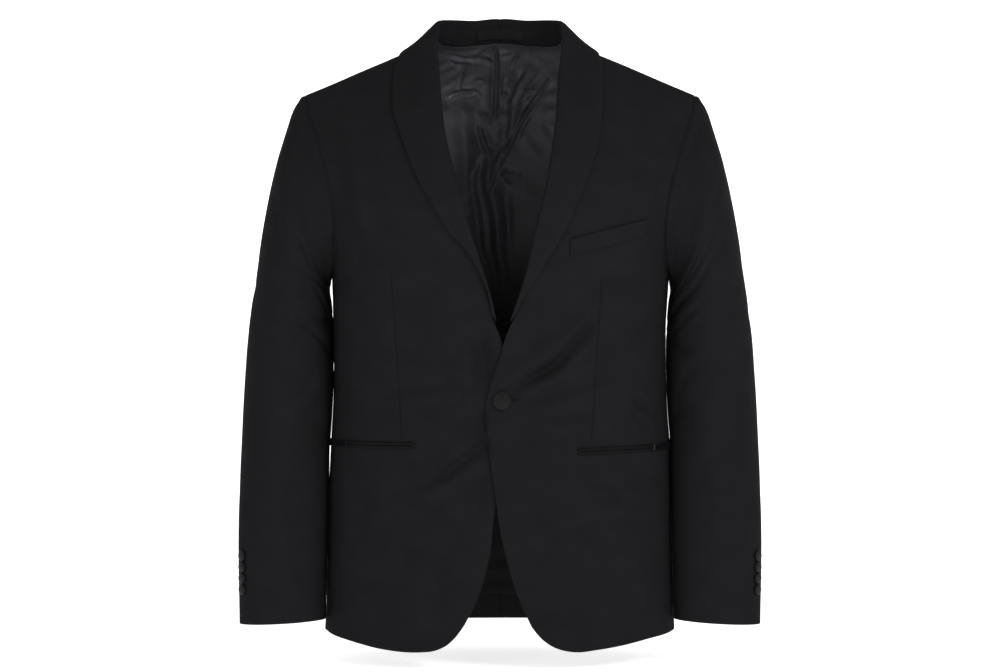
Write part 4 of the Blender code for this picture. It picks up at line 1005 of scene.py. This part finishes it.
def collar_middle(side_name):
    """Middle surface of the collar: a row for each station, from foot over roll to edge.

    A point lies on the cloth a share of the way from roll to edge, lifted along a direction
    between the cloth's own and straight away from the neck, and raised by its share of the
    stand. The fall swells a little between roll and edge where the lapel rolls softly.
    """
    side = SIDES[side_name]
    station = {name: column[:, None]
               for name, column in collar_stations(side_name, COLLAR_FINE[0]).items()}
    for name in ("roll_x", "edge_x"):
        station[name][0] = -SEAM_LAP
    knots = np.arange(len(COLLAR_SECTION["foot"]), dtype=float)
    at = np.linspace(0.0, knots[-1], COLLAR_FINE[1])
    section = {name: smooth(at, knots, column)[None, :] for name, column in COLLAR_SECTION.items()}
    across_x = station["edge_x"] - station["roll_x"]
    across_run = station["edge_run"] - station["roll_run"]
    reach = section["foot"] * station["foot"] / np.hypot(across_x, across_run) + section["fall"]
    x = station["roll_x"] + reach * across_x
    run = station["roll_run"] + reach * across_run
    base = over_shoulder(x, run, side)
    away = fall_direction(station, side)
    standing = ease(station["stand"] / STAND_FULL) * (1 - ease(section["fall"] / 0.5))
    lift = over_shoulder(x, run, side, 1.0) - base
    outward = unit(lift * (1 - standing[..., None]) + away * standing[..., None])
    over, under = COLLAR_WALL / 2 + COLLAR_GAP, COLLAR_WALL / 2
    layer = np.where(section["layer"] > 0, over, under) * section["layer"]
    down = -station["roll_run"]
    lapel = (ease((down - LAPEL_START) / LAPEL_START_EASE)
             * ease((LAPEL_BREAK - down) / LAPEL_BREAK_EASE))
    swell = np.sin(np.pi * np.clip(section["fall"], 0.0, 1.0) ** 0.6) * ROLL_SWELL * lapel
    seam_line = np.exp(-((section["rise"] - STAND_SEAM_RISE) / STAND_SEAM_WIDTH) ** 2)
    seam_line = seam_line * (section["layer"] < -0.5)
    swell = swell + seam_line * STAND_SEAM_DEPTH * ease(station["stand"] / STAND_FULL)
    upward = unit(np.array([0.0, 0.0, 1.0]) - COLLAR_LEAN * away)
    height = section["rise"] * station["stand"]
    return base + outward * (layer + swell)[..., None] + upward * height[..., None]


def grid_normal(points):
    """Unit normal of a grid of points from its neighbours."""
    return unit(np.cross(np.gradient(points, axis=0), np.gradient(points, axis=1)))


def laid_out(points):
    """Cloth coordinates of a grid: the mean length along its rows and down its columns."""
    steps = [np.linalg.norm(np.diff(points, axis=axis), axis=-1).mean(1 - axis) for axis in (1, 0)]
    u, v = [np.append(0.0, np.cumsum(step)) for step in steps]
    return np.stack(np.broadcast_arrays(u[None, :], v[:, None]), -1)


for side_name in SIDES:
    name = f"shawl_collar_{side_name}"
    middle = collar_middle(side_name)
    half = grid_normal(middle) * COLLAR_WALL / 2
    mesh = cloth_mesh(middle + half, middle - half, laid_out(middle))
    collar = add_piece(name + "_cloth", mesh, plain_worsted, "wool", name)

# A bare woven label is sewn along its ends inside the collar's stand, behind the neck.
LABEL_SIZE, LABEL_FOOT, LABEL_SEAT = (0.058, 0.0120), 0.0030, 0.0014
LABEL_FINE, LABEL_PUFF, LABEL_SATIN = (72, 24), 0.0003, ((0.60, 0.10), 3200.0, 0.30)
LABEL_DARK, LABEL_LIGHT = (0.0040, 0.0040, 0.0045, 1.0), (0.0085, 0.0085, 0.0095, 1.0)

columns, rows = LABEL_FINE
label_x = np.linspace(-0.5, 0.5, columns) * LABEL_SIZE[0]
label_height = LABEL_FOOT + np.linspace(0.0, 1.0, rows) * LABEL_SIZE[1]
stations = collar_stations("left", CURVE_POINTS)
behind = stations["roll_run"] > 0
near = {name: np.interp(np.abs(label_x), stations["roll_x"][behind], column[behind])
        for name, column in stations.items()}
flip = np.stack([np.sign(label_x), np.ones(columns), np.ones(columns)], -1)
label_base = over_shoulder(near["roll_x"], near["roll_run"], 1) * flip
label_away = fall_direction(near, 1) * flip
label_up = unit(np.array([0.0, 0.0, 1.0]) - COLLAR_LEAN * label_away)
label_grid = label_base[None] + label_up[None] * label_height[:, None, None]
puff = np.sin(np.pi * np.linspace(0.0, 1.0, rows))[:, None, None] * LABEL_PUFF
label_face = label_grid - label_away * (LABEL_SEAT + LINING_WALL + puff)
mesh = cloth_mesh(label_face, label_grid - label_away * LABEL_SEAT, laid_out(label_grid))
label_weave = make_satin("label_weave", LABEL_DARK, LABEL_LIGHT, *LABEL_SATIN)
label = add_piece("neck_label_weave", mesh, label_weave, "label_cloth", "neck_label")

# Each sleeve has two pieces of worsted, the top sleeve over the front of the arm and the under
# sleeve behind it, set into the armhole with a small roll. They hang in creases at the elbow.
SLEEVE_WALL, RIM_RISE, SLEEVE_RADIUS = 0.0016, 0.0007, 0.045
HEAD_SHARE, HEAD_BEND, FOLD_TILT_TURN = 0.24, 1.6, 100.0
HIND_SEAM, FOREARM_SEAM = (-62.0, 14.0), (150.0, 205.0)
TOP_SLEEVE_FINE, UNDER_SLEEVE_FINE = (196, 72), (196, 48)
# Rings from armhole to cuff: outer and inner point seen from the front, half depth, middle.
SLEEVE_RINGS = table("outer_x outer_z inner_x inner_z half_depth middle_y", """
    231 -58 197.5 -272 69 6  243 -73 199 -276 69 5  253 -100 200 -280 69 4
    262.5 -133 201 -285 69 3  270 -164 200.6 -291 68.5 2  277.5 -205 199 -299 67 1
    284 -245 197.6 -311 65 0  289.5 -285 196.5 -328 63 -1  294.5 -326 195.7 -350 60 -3
    298.5 -372 195.5 -385 57 -6  301.5 -420 196.7 -425 53 -10  303.5 -470 199.3 -470 49 -16
    304.5 -520 200.2 -518 45 -22  305 -570 200.8 -566 41 -28  304.5 -620 201.8 -615 37 -32
    303.8 -674.5 202.6 -669 34 -35
""")
# Large folds across a sleeve: place along it, angle round it, tilt, half width, reach, depth.
SLEEVE_FOLDS = {
    "left": table("along angle tilt width reach depth", """
        .42 150 .1 .016 70 .004  .52 165 -.12 .014 60 .003  .3 120 .12 .016 50 .0022
        .48 -60 .05 .016 60 .003  .69 160 .1 .018 60 .0022
    """, 1),
    "right": table("along angle tilt width reach depth", """
        .44 165 -.1 .014 60 .0035  .54 150 .12 .014 70 .0032  .31 125 -.1 .016 50 .002
        .5 -55 -.06 .016 60 .003  .72 165 .08 .018 60 .002
    """, 1),
}
# Creases: half width, depth, and a line of angle and share of the way down, at a scale that
# gives the lengths of both on the cloth.
SLEEVE_SCALE = np.array([0.00095, 0.62])
SLEEVE_CREASES = {
    "left": creases("""
        7 2.2  120 .36  145 .4  158 .46  150 .53
        6 1.6  100 .44  130 .47  160 .52
        8 1.6  80 .28  105 .32  140 .35
        8 1.5  90 .57  125 .6  150 .66
        9 1.4  70 .72  100 .75  135 .8
        9 1.2  40 .2  70 .26  95 .36
        9 1.1  20 .42  50 .45  85 .53
        10 1.2  60 .86  90 .88  120 .93
        8 1.8  -80 .42  -50 .46  -20 .48
        8 1.6  -85 .53  -50 .52  -15 .56
        10 1.4  220 .1  250 .22  240 .34
        9 1.4  200 .44  235 .48  262 .47
    """, SLEEVE_SCALE),
    "right": creases("""
        7 2.2  130 .34  152 .4  160 .46  140 .52
        6 1.8  150 .47  120 .5  95 .56
        6 1.6  155 .58  130 .6  105 .65
        6 1.4  155 .64  132 .66  110 .7
        9 1.3  150 .74  115 .77  85 .84
        9 1.4  100 .24  125 .28  150 .3
        9 1.1  30 .24  60 .3  88 .4
        10 1.1  25 .5  55 .54  80 .62
        10 1.2  55 .88  90 .9  125 .92
        8 1.8  -85 .46  -50 .49  -20 .47
        8 1.5  -80 .57  -45 .55  -12 .6
        10 1.4  215 .12  245 .24  235 .36
        9 1.4  205 .49  240 .46  265 .5
    """, SLEEVE_SCALE),
}
HEAD_ROLL, HEAD_ROLL_PLACE, HEAD_ROLL_WIDTH = 0.0020, 0.022, 0.016
SLEEVE_LINING_END = 0.955
INNER_CALM, INNER_ANGLE, INNER_WIDTH = 0.75, 188.0, 28.0
CREASE_START, CREASE_START_EASE, HEAD_ROLL_START, SLEEVE_WAVE = 0.01, 0.06, 0.008, 1.6
TUCK_SHARE, TUCK_DOWN, TUCK_UNDER = 0.0035, 0.0042, 0.0030


def armhole_rim(side):
    """Line of the armhole moved out of the body's cloth and into the hole by a seam's gap."""
    hole = armhole(np.linspace(0.0, 1.0, CURVE_POINTS)) * np.array([side, 1.0])
    point, normal = cloth(hole[:, 0], hole[:, 1], 0.0, side), body_normal(hole[:, 0], hole[:, 1])
    into_hole = unit(np.cross(normal, np.gradient(point, axis=0))) * side
    return point + RIM_RISE * normal + 2 * SEAM_GAP * into_hole, into_hole, normal


RIMS = {name: armhole_rim(side) for name, side in SIDES.items()}


def around_sleeve(ring, angle, side):
    """Point of a sleeve's ring at an angle: 0 outside, 90 in front, 180 inside, 270 behind."""
    outward, forward = np.cos(np.radians(angle)), np.sin(np.radians(angle))
    x = ring["inner_x"] + (ring["outer_x"] - ring["inner_x"]) * (1 + outward) / 2
    z = ring["inner_z"] + (ring["outer_z"] - ring["inner_z"]) * (1 + outward) / 2
    return np.stack([x * side, ring["middle_y"] - ring["half_depth"] * forward, z], -1)


def on_rim(side_name, line, angle):
    """Value of a line along the armhole's rim at an angle round the sleeve."""
    at = np.linspace(0.0, 1.0, CURVE_POINTS)
    share = (angle / 360.0) % 1.0
    return np.stack([np.interp(share, at, column) for column in RIMS[side_name][line].T], -1)


def sleeve_surface(side_name, along, angle):
    """Point of the sleeve by its share of the way to the cuff and its angle round.

    A ring is an ellipse between its outer and inner point. The first rings bend over into
    the armhole with a small roll, and folds and creases draw the cloth in towards the
    middle of its ring.
    """
    side = SIDES[side_name]
    places = np.linspace(0.0, 1.0, len(SLEEVE_RINGS["outer_x"]))
    ring = {name: smooth(along, places, column) for name, column in SLEEVE_RINGS.items()}
    first = {name: column[0] for name, column in SLEEVE_RINGS.items()}
    bend = (1 - ease(along / HEAD_SHARE)) ** HEAD_BEND
    to_rim = on_rim(side_name, 0, angle) - around_sleeve(first, angle, side)
    point = around_sleeve(ring, angle, side) + to_rim * bend[..., None]
    tucked = (1 - ease(along / TUCK_SHARE))[..., None]
    point = point - (TUCK_DOWN * on_rim(side_name, 2, angle)
                     + TUCK_UNDER * on_rim(side_name, 1, angle)) * tucked
    middle = (around_sleeve(ring, angle, side) + around_sleeve(ring, angle + 180.0, side)) / 2
    depth = np.zeros_like(point[..., 0])
    for place, centre, tilt, width, reach, deep in zip(*SLEEVE_FOLDS[side_name].values()):
        off = (angle - centre + 180.0) % 360.0 - 180.0
        across = (along - place - tilt * off / FOLD_TILT_TURN) / width
        depth += deep * np.exp(-across ** 2 - (off / reach) ** 2)
    u, v = ((angle + 90.0) % 360.0 - 90.0) * SLEEVE_SCALE[0], along * SLEEVE_SCALE[1]
    fine = crease_depth(SLEEVE_CREASES[side_name], u, v) - undulation(u * SLEEVE_WAVE, v)
    depth += fine * ease((along - CREASE_START) / CREASE_START_EASE)
    depth *= 1 - INNER_CALM * np.exp(-((angle - INNER_ANGLE) / INNER_WIDTH) ** 2)
    roll = np.exp(-((along - HEAD_ROLL_PLACE) / HEAD_ROLL_WIDTH) ** 2)
    roll = roll * ease(along / HEAD_ROLL_START)
    depth -= HEAD_ROLL * roll * (0.55 + 0.45 * np.cos(np.radians(angle)))
    return point + unit(middle - point) * depth[..., None]


def sleeve_inward(side_name, along, angle):
    """Direction into the sleeve, kept clear of the body's panels at the armhole."""
    down = (sleeve_surface(side_name, np.minimum(along + NUDGE, 1.0), angle)
            - sleeve_surface(side_name, np.maximum(along - NUDGE, 0.0), angle))
    around = (sleeve_surface(side_name, along, angle + 1.0)
              - sleeve_surface(side_name, along, angle - 1.0))
    inward = unit(np.cross(down, around)) * SIDES[side_name]
    into_hole = on_rim(side_name, 1, angle)
    back = np.minimum((inward * into_hole).sum(-1, keepdims=True), 0.0)
    return unit(inward - into_hole * back * (along < 1e-6)[..., None])


def sleeve_wall(side_name, seams, fine):
    """Cloth of one sleeve piece between two seams that each turn from armhole to cuff."""
    edge = np.array(EDGE_STEPS) / 50
    along, share = [np.concatenate([edge, np.linspace(edge[-1] * 2, 1 - edge[-1] * 2, count),
                                    1 - edge[::-1]]) for count in fine]
    along = along[:, None] + np.zeros((1, len(share)))
    gap = np.degrees(SEAM_GAP / 2 / SLEEVE_RADIUS)
    start, end = [first + (last - first) * ease(along) for first, last in seams]
    angle = (start + gap) * (1 - share) + (end - gap) * share
    outside = sleeve_surface(side_name, along, angle)
    inside = outside + sleeve_inward(side_name, along, angle) * SLEEVE_WALL
    weave = np.stack([np.radians(angle) * SLEEVE_RADIUS, along * SLEEVE_SCALE[1]], -1)
    return cloth_mesh(outside, inside, weave, along < SLEEVE_LINING_END)


SLEEVE_PIECES = (
    ("top_sleeve", (HIND_SEAM, FOREARM_SEAM), TOP_SLEEVE_FINE, (0.225, 0.650), 0.0985),
    ("under_sleeve", (FOREARM_SEAM, tuple(angle + 360.0 for angle in HIND_SEAM)),
     UNDER_SLEEVE_FINE, (0.150, 0.560), 0.0682),
)
for side_name in SIDES:
    for kind, seams, fine, flat, area in SLEEVE_PIECES:
        name, mesh = f"{kind}_{side_name}", sleeve_wall(side_name, seams, fine)
        sleeve = add_piece(name + "_cloth", mesh, plain_worsted, "wool", name)

# The welt of the chest pocket is a folded strip of worsted on the left front, slanting up
# towards the arm, sewn down at both short ends with the pocket's mouth open behind its top.
TRIM_WALL = 0.0012
WELT_CORNERS = ((0.0795, -0.2506), (0.1667, -0.2253), (0.0795, -0.2310), (0.1667, -0.2062))
WELT_FINE = (96, 28)
WELT_LEAN = 0.0008

low_in, low_out, high_in, high_out = [np.array(corner) for corner in WELT_CORNERS]
u = np.linspace(0.0, 1.0, WELT_FINE[0])[None, :, None]
v = np.linspace(0.0, 1.0, WELT_FINE[1])[:, None, None]
flat = (low_in * (1 - u) + low_out * u) * (1 - v) + (high_in * (1 - u) + high_out * u) * v
spots = on_front(flat[..., 0], flat[..., 1])
lean = WELT_LEAN * (v * np.sin(np.pi * u) ** 0.5)[..., 0] + LAYER_GAP
turn, run = spots[..., 0], spots[..., 1]
mesh = cloth_mesh(cloth(turn, run, lean + TRIM_WALL), cloth(turn, run, lean), laid_out(flat))
welt = add_piece("chest_welt_cloth", mesh, plain_worsted, "wool", "chest_welt")

# Two narrow jets of duller satin edge the slit of each hip pocket, one above and one below it.
# A tack of fine thread holds each end.
JET_HEIGHT, JET_END_TURN, JET_SWELL = 0.0036, 100.0, 0.0003
JET_FINE, JET_SATIN = (200, 10), ((0.50, 0.06), 2300.0, 0.20)
JET_LINES = {"left": (25.9, -0.4677, -0.4610), "right": (28.2, -0.4609, -0.4605)}
JET_DARK, JET_LIGHT = (0.0030, 0.0030, 0.0035, 1.0), (0.0056, 0.0056, 0.0063, 1.0)

jet_satin = make_satin("jet_satin", JET_DARK, JET_LIGHT, *JET_SATIN)
for side_name, side in SIDES.items():
    first_turn, first_z, last_z = JET_LINES[side_name]
    columns, rows = JET_FINE
    turn = np.radians(np.linspace(first_turn, JET_END_TURN, columns))[None, :] * side
    top = np.linspace(first_z, last_z, columns)[None, :]
    share = np.linspace(0.0, 1.0, rows)[:, None]
    for place, level_name in enumerate(("upper", "lower")):
        name = f"hip_jet_{level_name}_{side_name}"
        down = JET_HEIGHT * (1 - share) + place * (JET_HEIGHT + SEAM_GAP)
        run = run_at(top - down)
        lift = LAYER_GAP + JET_SWELL * np.sin(np.pi * share)
        around = turn + 0 * run
        mesh = cloth_mesh(cloth(around, run, lift + TRIM_WALL, side),
                          cloth(around, run, LAYER_GAP, side),
                          np.stack([around * WEAVE_RADIUS, run], -1))
        jet = add_piece(name + "_satin", mesh, jet_satin, "jet_satin", name)

# Silk thread bars each front end of the hip pockets' slits and purls the edge of the buttonhole,
# stitch beside stitch. It is the only thread that shows.
THREAD_RADIUS, THREAD_SIDES = 0.00022, 6
TACK_HEIGHT, TACK_STITCHES, TACK_STEP = 0.0070, 5, 0.0004
HOLE_STITCHES, HOLE_STEP, HOLE_REACH = 30, 0.00052, 0.0015
BUTTON_PLACE, HOLE_START, HOLE_END = (0.0024, -0.4129), 0.0060, 0.0216
THREAD_COLOUR, TACK_COLOUR = (0.0150, 0.0150, 0.0165, 1.0), (0.0500, 0.0500, 0.0530, 1.0)
TACK_REAR_TURN, TACK_ABOVE, TACK_POINTS = 58.0, 0.0002, 8
SLIT_HALF, HOLE_SLANT, HOLE_SINK, HOLE_POINTS, HOLE_FAN = 0.0004, 0.2, 0.4, 7, 9


def thread_mesh(paths):
    """Closed round threads, one along each path of points.

    A ring of points stands square to each path's direction, and the rings at both ends are
    closed by flat faces.
    """
    count, steps = paths.shape[:2]
    along = unit(np.gradient(paths, axis=1))
    aside = unit(np.cross(along, np.array([0.13, 0.31, 0.94])))
    over = np.cross(along, aside)
    turns = np.linspace(0.0, 2 * np.pi, THREAD_SIDES, endpoint=False)
    ring = (aside[:, :, None] * np.cos(turns)[:, None] + over[:, :, None] * np.sin(turns)[:, None])
    points = (paths[:, :, None] + ring * THREAD_RADIUS).reshape(-1, 3)
    index = np.arange(len(points)).reshape(count, steps, THREAD_SIDES)
    after = np.roll(index, -1, axis=2)
    quads = np.stack([index[:, :-1], after[:, :-1], after[:, 1:], index[:, 1:]], -1).reshape(-1, 4)
    return new_mesh(points, quads, caps=np.concatenate([index[:, 0, ::-1], index[:, -1]]))


def make_thread(name, colour):
    """Twisted silk thread, its plies drawn by a fine noise on the object's own coordinates."""
    material, nodes, shader = new_material(name)
    plies = nodes.noise(nodes.add("TexCoord")["Object"], 3500.0, 2.0)
    darker = (*(0.5 * part for part in colour[:3]), 1.0)
    nodes.feed(shader, {"Base Color": nodes.blend(plies, darker, colour), "Roughness": 0.55,
                        "Normal": nodes.bumped(plies, 0.4, 0.0001), "Specular IOR Level": 0.05})
    return material


silk_thread = make_thread("silk_thread", THREAD_COLOUR)
tack_thread = make_thread("tack_thread", TACK_COLOUR)
for side_name, side in SIDES.items():
    first_turn, first_z, last_z = JET_LINES[side_name]
    share = np.linspace(0.0, 1.0, TACK_POINTS)[None, :]
    lift = LAYER_GAP + TRIM_WALL + JET_SWELL + THREAD_RADIUS * 2 * np.sin(np.pi * share)
    rear_thread = tack_thread if side > 0 else silk_thread
    for place, tack_turn, thread in (("front", first_turn, silk_thread),
                                     ("rear", TACK_REAR_TURN, rear_thread)):
        level = np.interp(tack_turn, (first_turn, JET_END_TURN), (first_z, last_z))
        step = np.arange(TACK_STITCHES)[:, None] * TACK_STEP / WEAVE_RADIUS
        turn = (np.radians(tack_turn) + step) * side
        stitches = cloth(turn, run_at(level + TACK_ABOVE - share * TACK_HEIGHT), lift, side)
        add_piece(f"pocket_tack_{place}_{side_name}", thread_mesh(stitches), thread)

along = np.linspace(HOLE_START, HOLE_END, HOLE_STITCHES)[:, None]
wave = np.linspace(0.0, 1.0, HOLE_POINTS)[None, :]
reach = SLIT_HALF + (HOLE_REACH - SLIT_HALF) * wave
bend = np.linspace(-0.5, 0.5, HOLE_FAN)[:, None] * np.pi
lift = THREAD_RADIUS * (HOLE_SINK + np.sin(np.pi * wave))
slanted = along + HOLE_STEP * HOLE_SLANT * wave
purls = []
for x, rise in ((slanted, reach + 0 * along), (slanted, -reach + 0 * along),
                (HOLE_END + np.cos(bend) * reach, np.sin(bend) * reach)):
    spots = on_front(x, BUTTON_PLACE[1] + rise)
    purls.append(cloth(spots[..., 0], spots[..., 1], lift))
add_piece("buttonhole_purls", thread_mesh(np.concatenate(purls)), silk_thread)

# One button covered in the same cloth closes the front. It is a dome over a rolled rim, held by
# a thread shank that passes through the buttonhole to the right front.
BUTTON_RADIUS, BUTTON_THICK, BUTTON_SEAT, SHANK_RADIUS = 0.0103, 0.0044, 0.0004, 0.0009
BUTTON_PROFILE = table("across up", """
    .02 .965  .25 .955  .5 .925  .7 .87  .79 .81  .83 .78  .87 .79  .92 .77  .97 .68  1 .5
    .985 .3  .93 .13  .86 .02  .6 0  .3 0
""", 1)
BUTTON_FINE, COVER_SATIN = (60, 72), ((0.50, 0.10), 2300.0, 0.35)
COVER_DARK, COVER_LIGHT = (0.0050, 0.0050, 0.0056, 1.0), (0.0110, 0.0110, 0.0120, 1.0)


def button_mesh(radius, thick, shank, fine, place, outward):
    """Button turned from its profile about its axis, closed at both poles by flat faces.

    A point lies at the profile's distance from the axis and at its height along it.
    """
    places = walked(np.stack(list(BUTTON_PROFILE.values()), -1))
    at = np.linspace(0.0, places[-1], fine[0])
    across = smooth(at, places, BUTTON_PROFILE["across"]) * radius
    up = smooth(at, places, BUTTON_PROFILE["up"]) * thick
    across = np.concatenate([across, [shank[0], shank[0]]])[:, None]
    up = np.concatenate([up, [0.0, -shank[1]]])[:, None]
    outward = unit(np.asarray(outward, float))
    aside = unit(np.cross(np.array([0.0, 0.0, 1.0]), outward))
    over = np.cross(outward, aside)
    turns = np.linspace(0.0, 2 * np.pi, fine[1], endpoint=False)[None, :]
    spot = np.stack([across * np.cos(turns), across * np.sin(turns)], -1)
    grid = spot[..., :1] * aside + spot[..., 1:] * over + up[..., None] * outward + place
    index = np.arange(grid[..., 0].size).reshape(grid.shape[:2])
    after = np.roll(index, -1, axis=1)
    quads = np.stack([index[:-1], index[1:], after[1:], after[:-1]], -1).reshape(-1, 4)
    caps = (index[0], index[-1, ::-1])
    return new_mesh(grid.reshape(-1, 3), quads, spot.reshape(-1, 2), caps)


button_cover = make_satin("button_cover", COVER_DARK, COVER_LIGHT, *COVER_SATIN)
spots = on_front(np.array([BUTTON_PLACE[0]]), np.array([BUTTON_PLACE[1]]))
outward = body_normal(spots[:, 0], spots[:, 1])[0]
seat = cloth(spots[:, 0], spots[:, 1], BUTTON_SEAT, 1)[0]
shank_length = BUTTON_SEAT + UNDERLAP_DROP - SEAM_GAP
mesh = button_mesh(BUTTON_RADIUS, BUTTON_THICK, (SHANK_RADIUS, shank_length), BUTTON_FINE, seat,
                   outward)
add_piece("front_button_cover", mesh, button_cover, "button_cover", "front_button")

# Four smaller covered buttons stand in a row up from each cuff, beside the hind seam.
CUFF_BUTTON_RADIUS, CUFF_BUTTON_THICK, CUFF_SHANK_RADIUS = 0.0062, 0.0034, 0.0030
CUFF_BUTTON_PITCH, CUFF_BUTTON_COUNT, CUFF_BUTTON_FIRST = 0.0130, 4, 0.0405
CUFF_BUTTON_ANGLE, CUFF_BUTTON_FINE = 30.0, (36, 36)

for side_name in SIDES:
    along = np.linspace(0.5, 1.0, CURVE_POINTS)
    angle = np.full_like(along, CUFF_BUTTON_ANGLE)
    height = sleeve_surface(side_name, along, angle)[:, 2]
    for place in range(CUFF_BUTTON_COUNT):
        up = height[-1] + CUFF_BUTTON_FIRST + place * CUFF_BUTTON_PITCH
        spot = np.interp([up], height[::-1], along[::-1])
        outward = -sleeve_inward(side_name, spot, angle[:1])[0]
        seat = sleeve_surface(side_name, spot, angle[:1])[0] + outward * BUTTON_SEAT
        name = f"cuff_button_{side_name}_{place + 1}"
        mesh = button_mesh(CUFF_BUTTON_RADIUS, CUFF_BUTTON_THICK,
                           (CUFF_SHANK_RADIUS, BUTTON_SEAT / 2), CUFF_BUTTON_FINE, seat, outward)
        add_piece(name + "_cover", mesh, button_cover, "button_cover", name)

# A plain white studio sweep stands behind and under the jacket. It is a softly glowing light
# table, and two large soft panels in front light the cloth.
FLOOR_Z, SWEEP_NEAR, SWEEP_FAR, SWEEP_TOP, SWEEP_BEND = -0.718, -4.0, 3.8, 3.0, 0.9
SWEEP_HALF_WIDTH = 4.5
SWEEP_COLOUR, SWEEP_GLOW = (0.95, 0.95, 0.95, 1.0), 0.80
WORLD_COLOUR, WORLD_LIGHT, WORLD_SEEN = (1.0, 1.0, 1.0, 1.0), 0.42, 1.0
LIGHTS = (
    ("key", (1.9, -1.9, 1.3), (0.0, 0.0, -0.30), 0.9, 35.0),
    ("fill", (-2.2, -2.4, 0.3), (0.0, 0.0, -0.30), 1.8, 16.5),
)

angles = np.linspace(0.0, np.pi / 2, 24)
profile = np.concatenate([
    [[SWEEP_NEAR, FLOOR_Z]],
    np.stack([SWEEP_FAR - SWEEP_BEND + SWEEP_BEND * np.sin(angles),
              FLOOR_Z + SWEEP_BEND * (1 - np.cos(angles))], -1),
    [[SWEEP_FAR, SWEEP_TOP]]])
left = np.column_stack([np.full(len(profile), -SWEEP_HALF_WIDTH), profile])
right = np.column_stack([np.full(len(profile), SWEEP_HALF_WIDTH), profile])
steps = np.arange(len(profile) - 1)
faces = np.stack([steps, steps + len(profile), steps + 1 + len(profile), steps + 1], -1)
paper, nodes, shader = new_material("sweep_paper")
nodes.feed(shader, {"Base Color": SWEEP_COLOUR, "Roughness": 0.9,
                    "Emission Color": SWEEP_COLOUR, "Emission Strength": SWEEP_GLOW})
sweep = bpy.data.objects.new("studio_sweep", new_mesh(np.concatenate([left, right]), faces))
sweep.data.materials.append(paper)
bpy.context.scene.collection.objects.link(sweep)

for name, place, target, size, power in LIGHTS:
    light = bpy.data.lights.new(name, "AREA")
    light.energy, light.size = power, size
    lamp = bpy.data.objects.new(name, light)
    lamp.location = place
    direction = np.array(target) - np.array(place)
    flat_reach = np.hypot(direction[0], direction[1])
    lamp.rotation_euler = (np.arctan2(flat_reach, -direction[2]), 0.0,
                           np.arctan2(direction[1], direction[0]) - np.pi / 2)
    bpy.context.scene.collection.objects.link(lamp)

# The room lights softly, and shows as the same white paper past the edges of the sweep.
world = bpy.data.worlds.new("studio")
world.use_nodes = True
nodes = Nodes(world.node_tree)
seen = nodes.add("LightPath")["Is Camera Ray"]
strength = nodes.math("MULTIPLY_ADD", seen, WORLD_SEEN - WORLD_LIGHT, WORLD_LIGHT)
nodes.feed(world.node_tree.nodes["Background"], {"Color": WORLD_COLOUR, "Strength": strength})
bpy.context.scene.world = world
bpy.context.scene.view_settings.view_transform = "Standard"
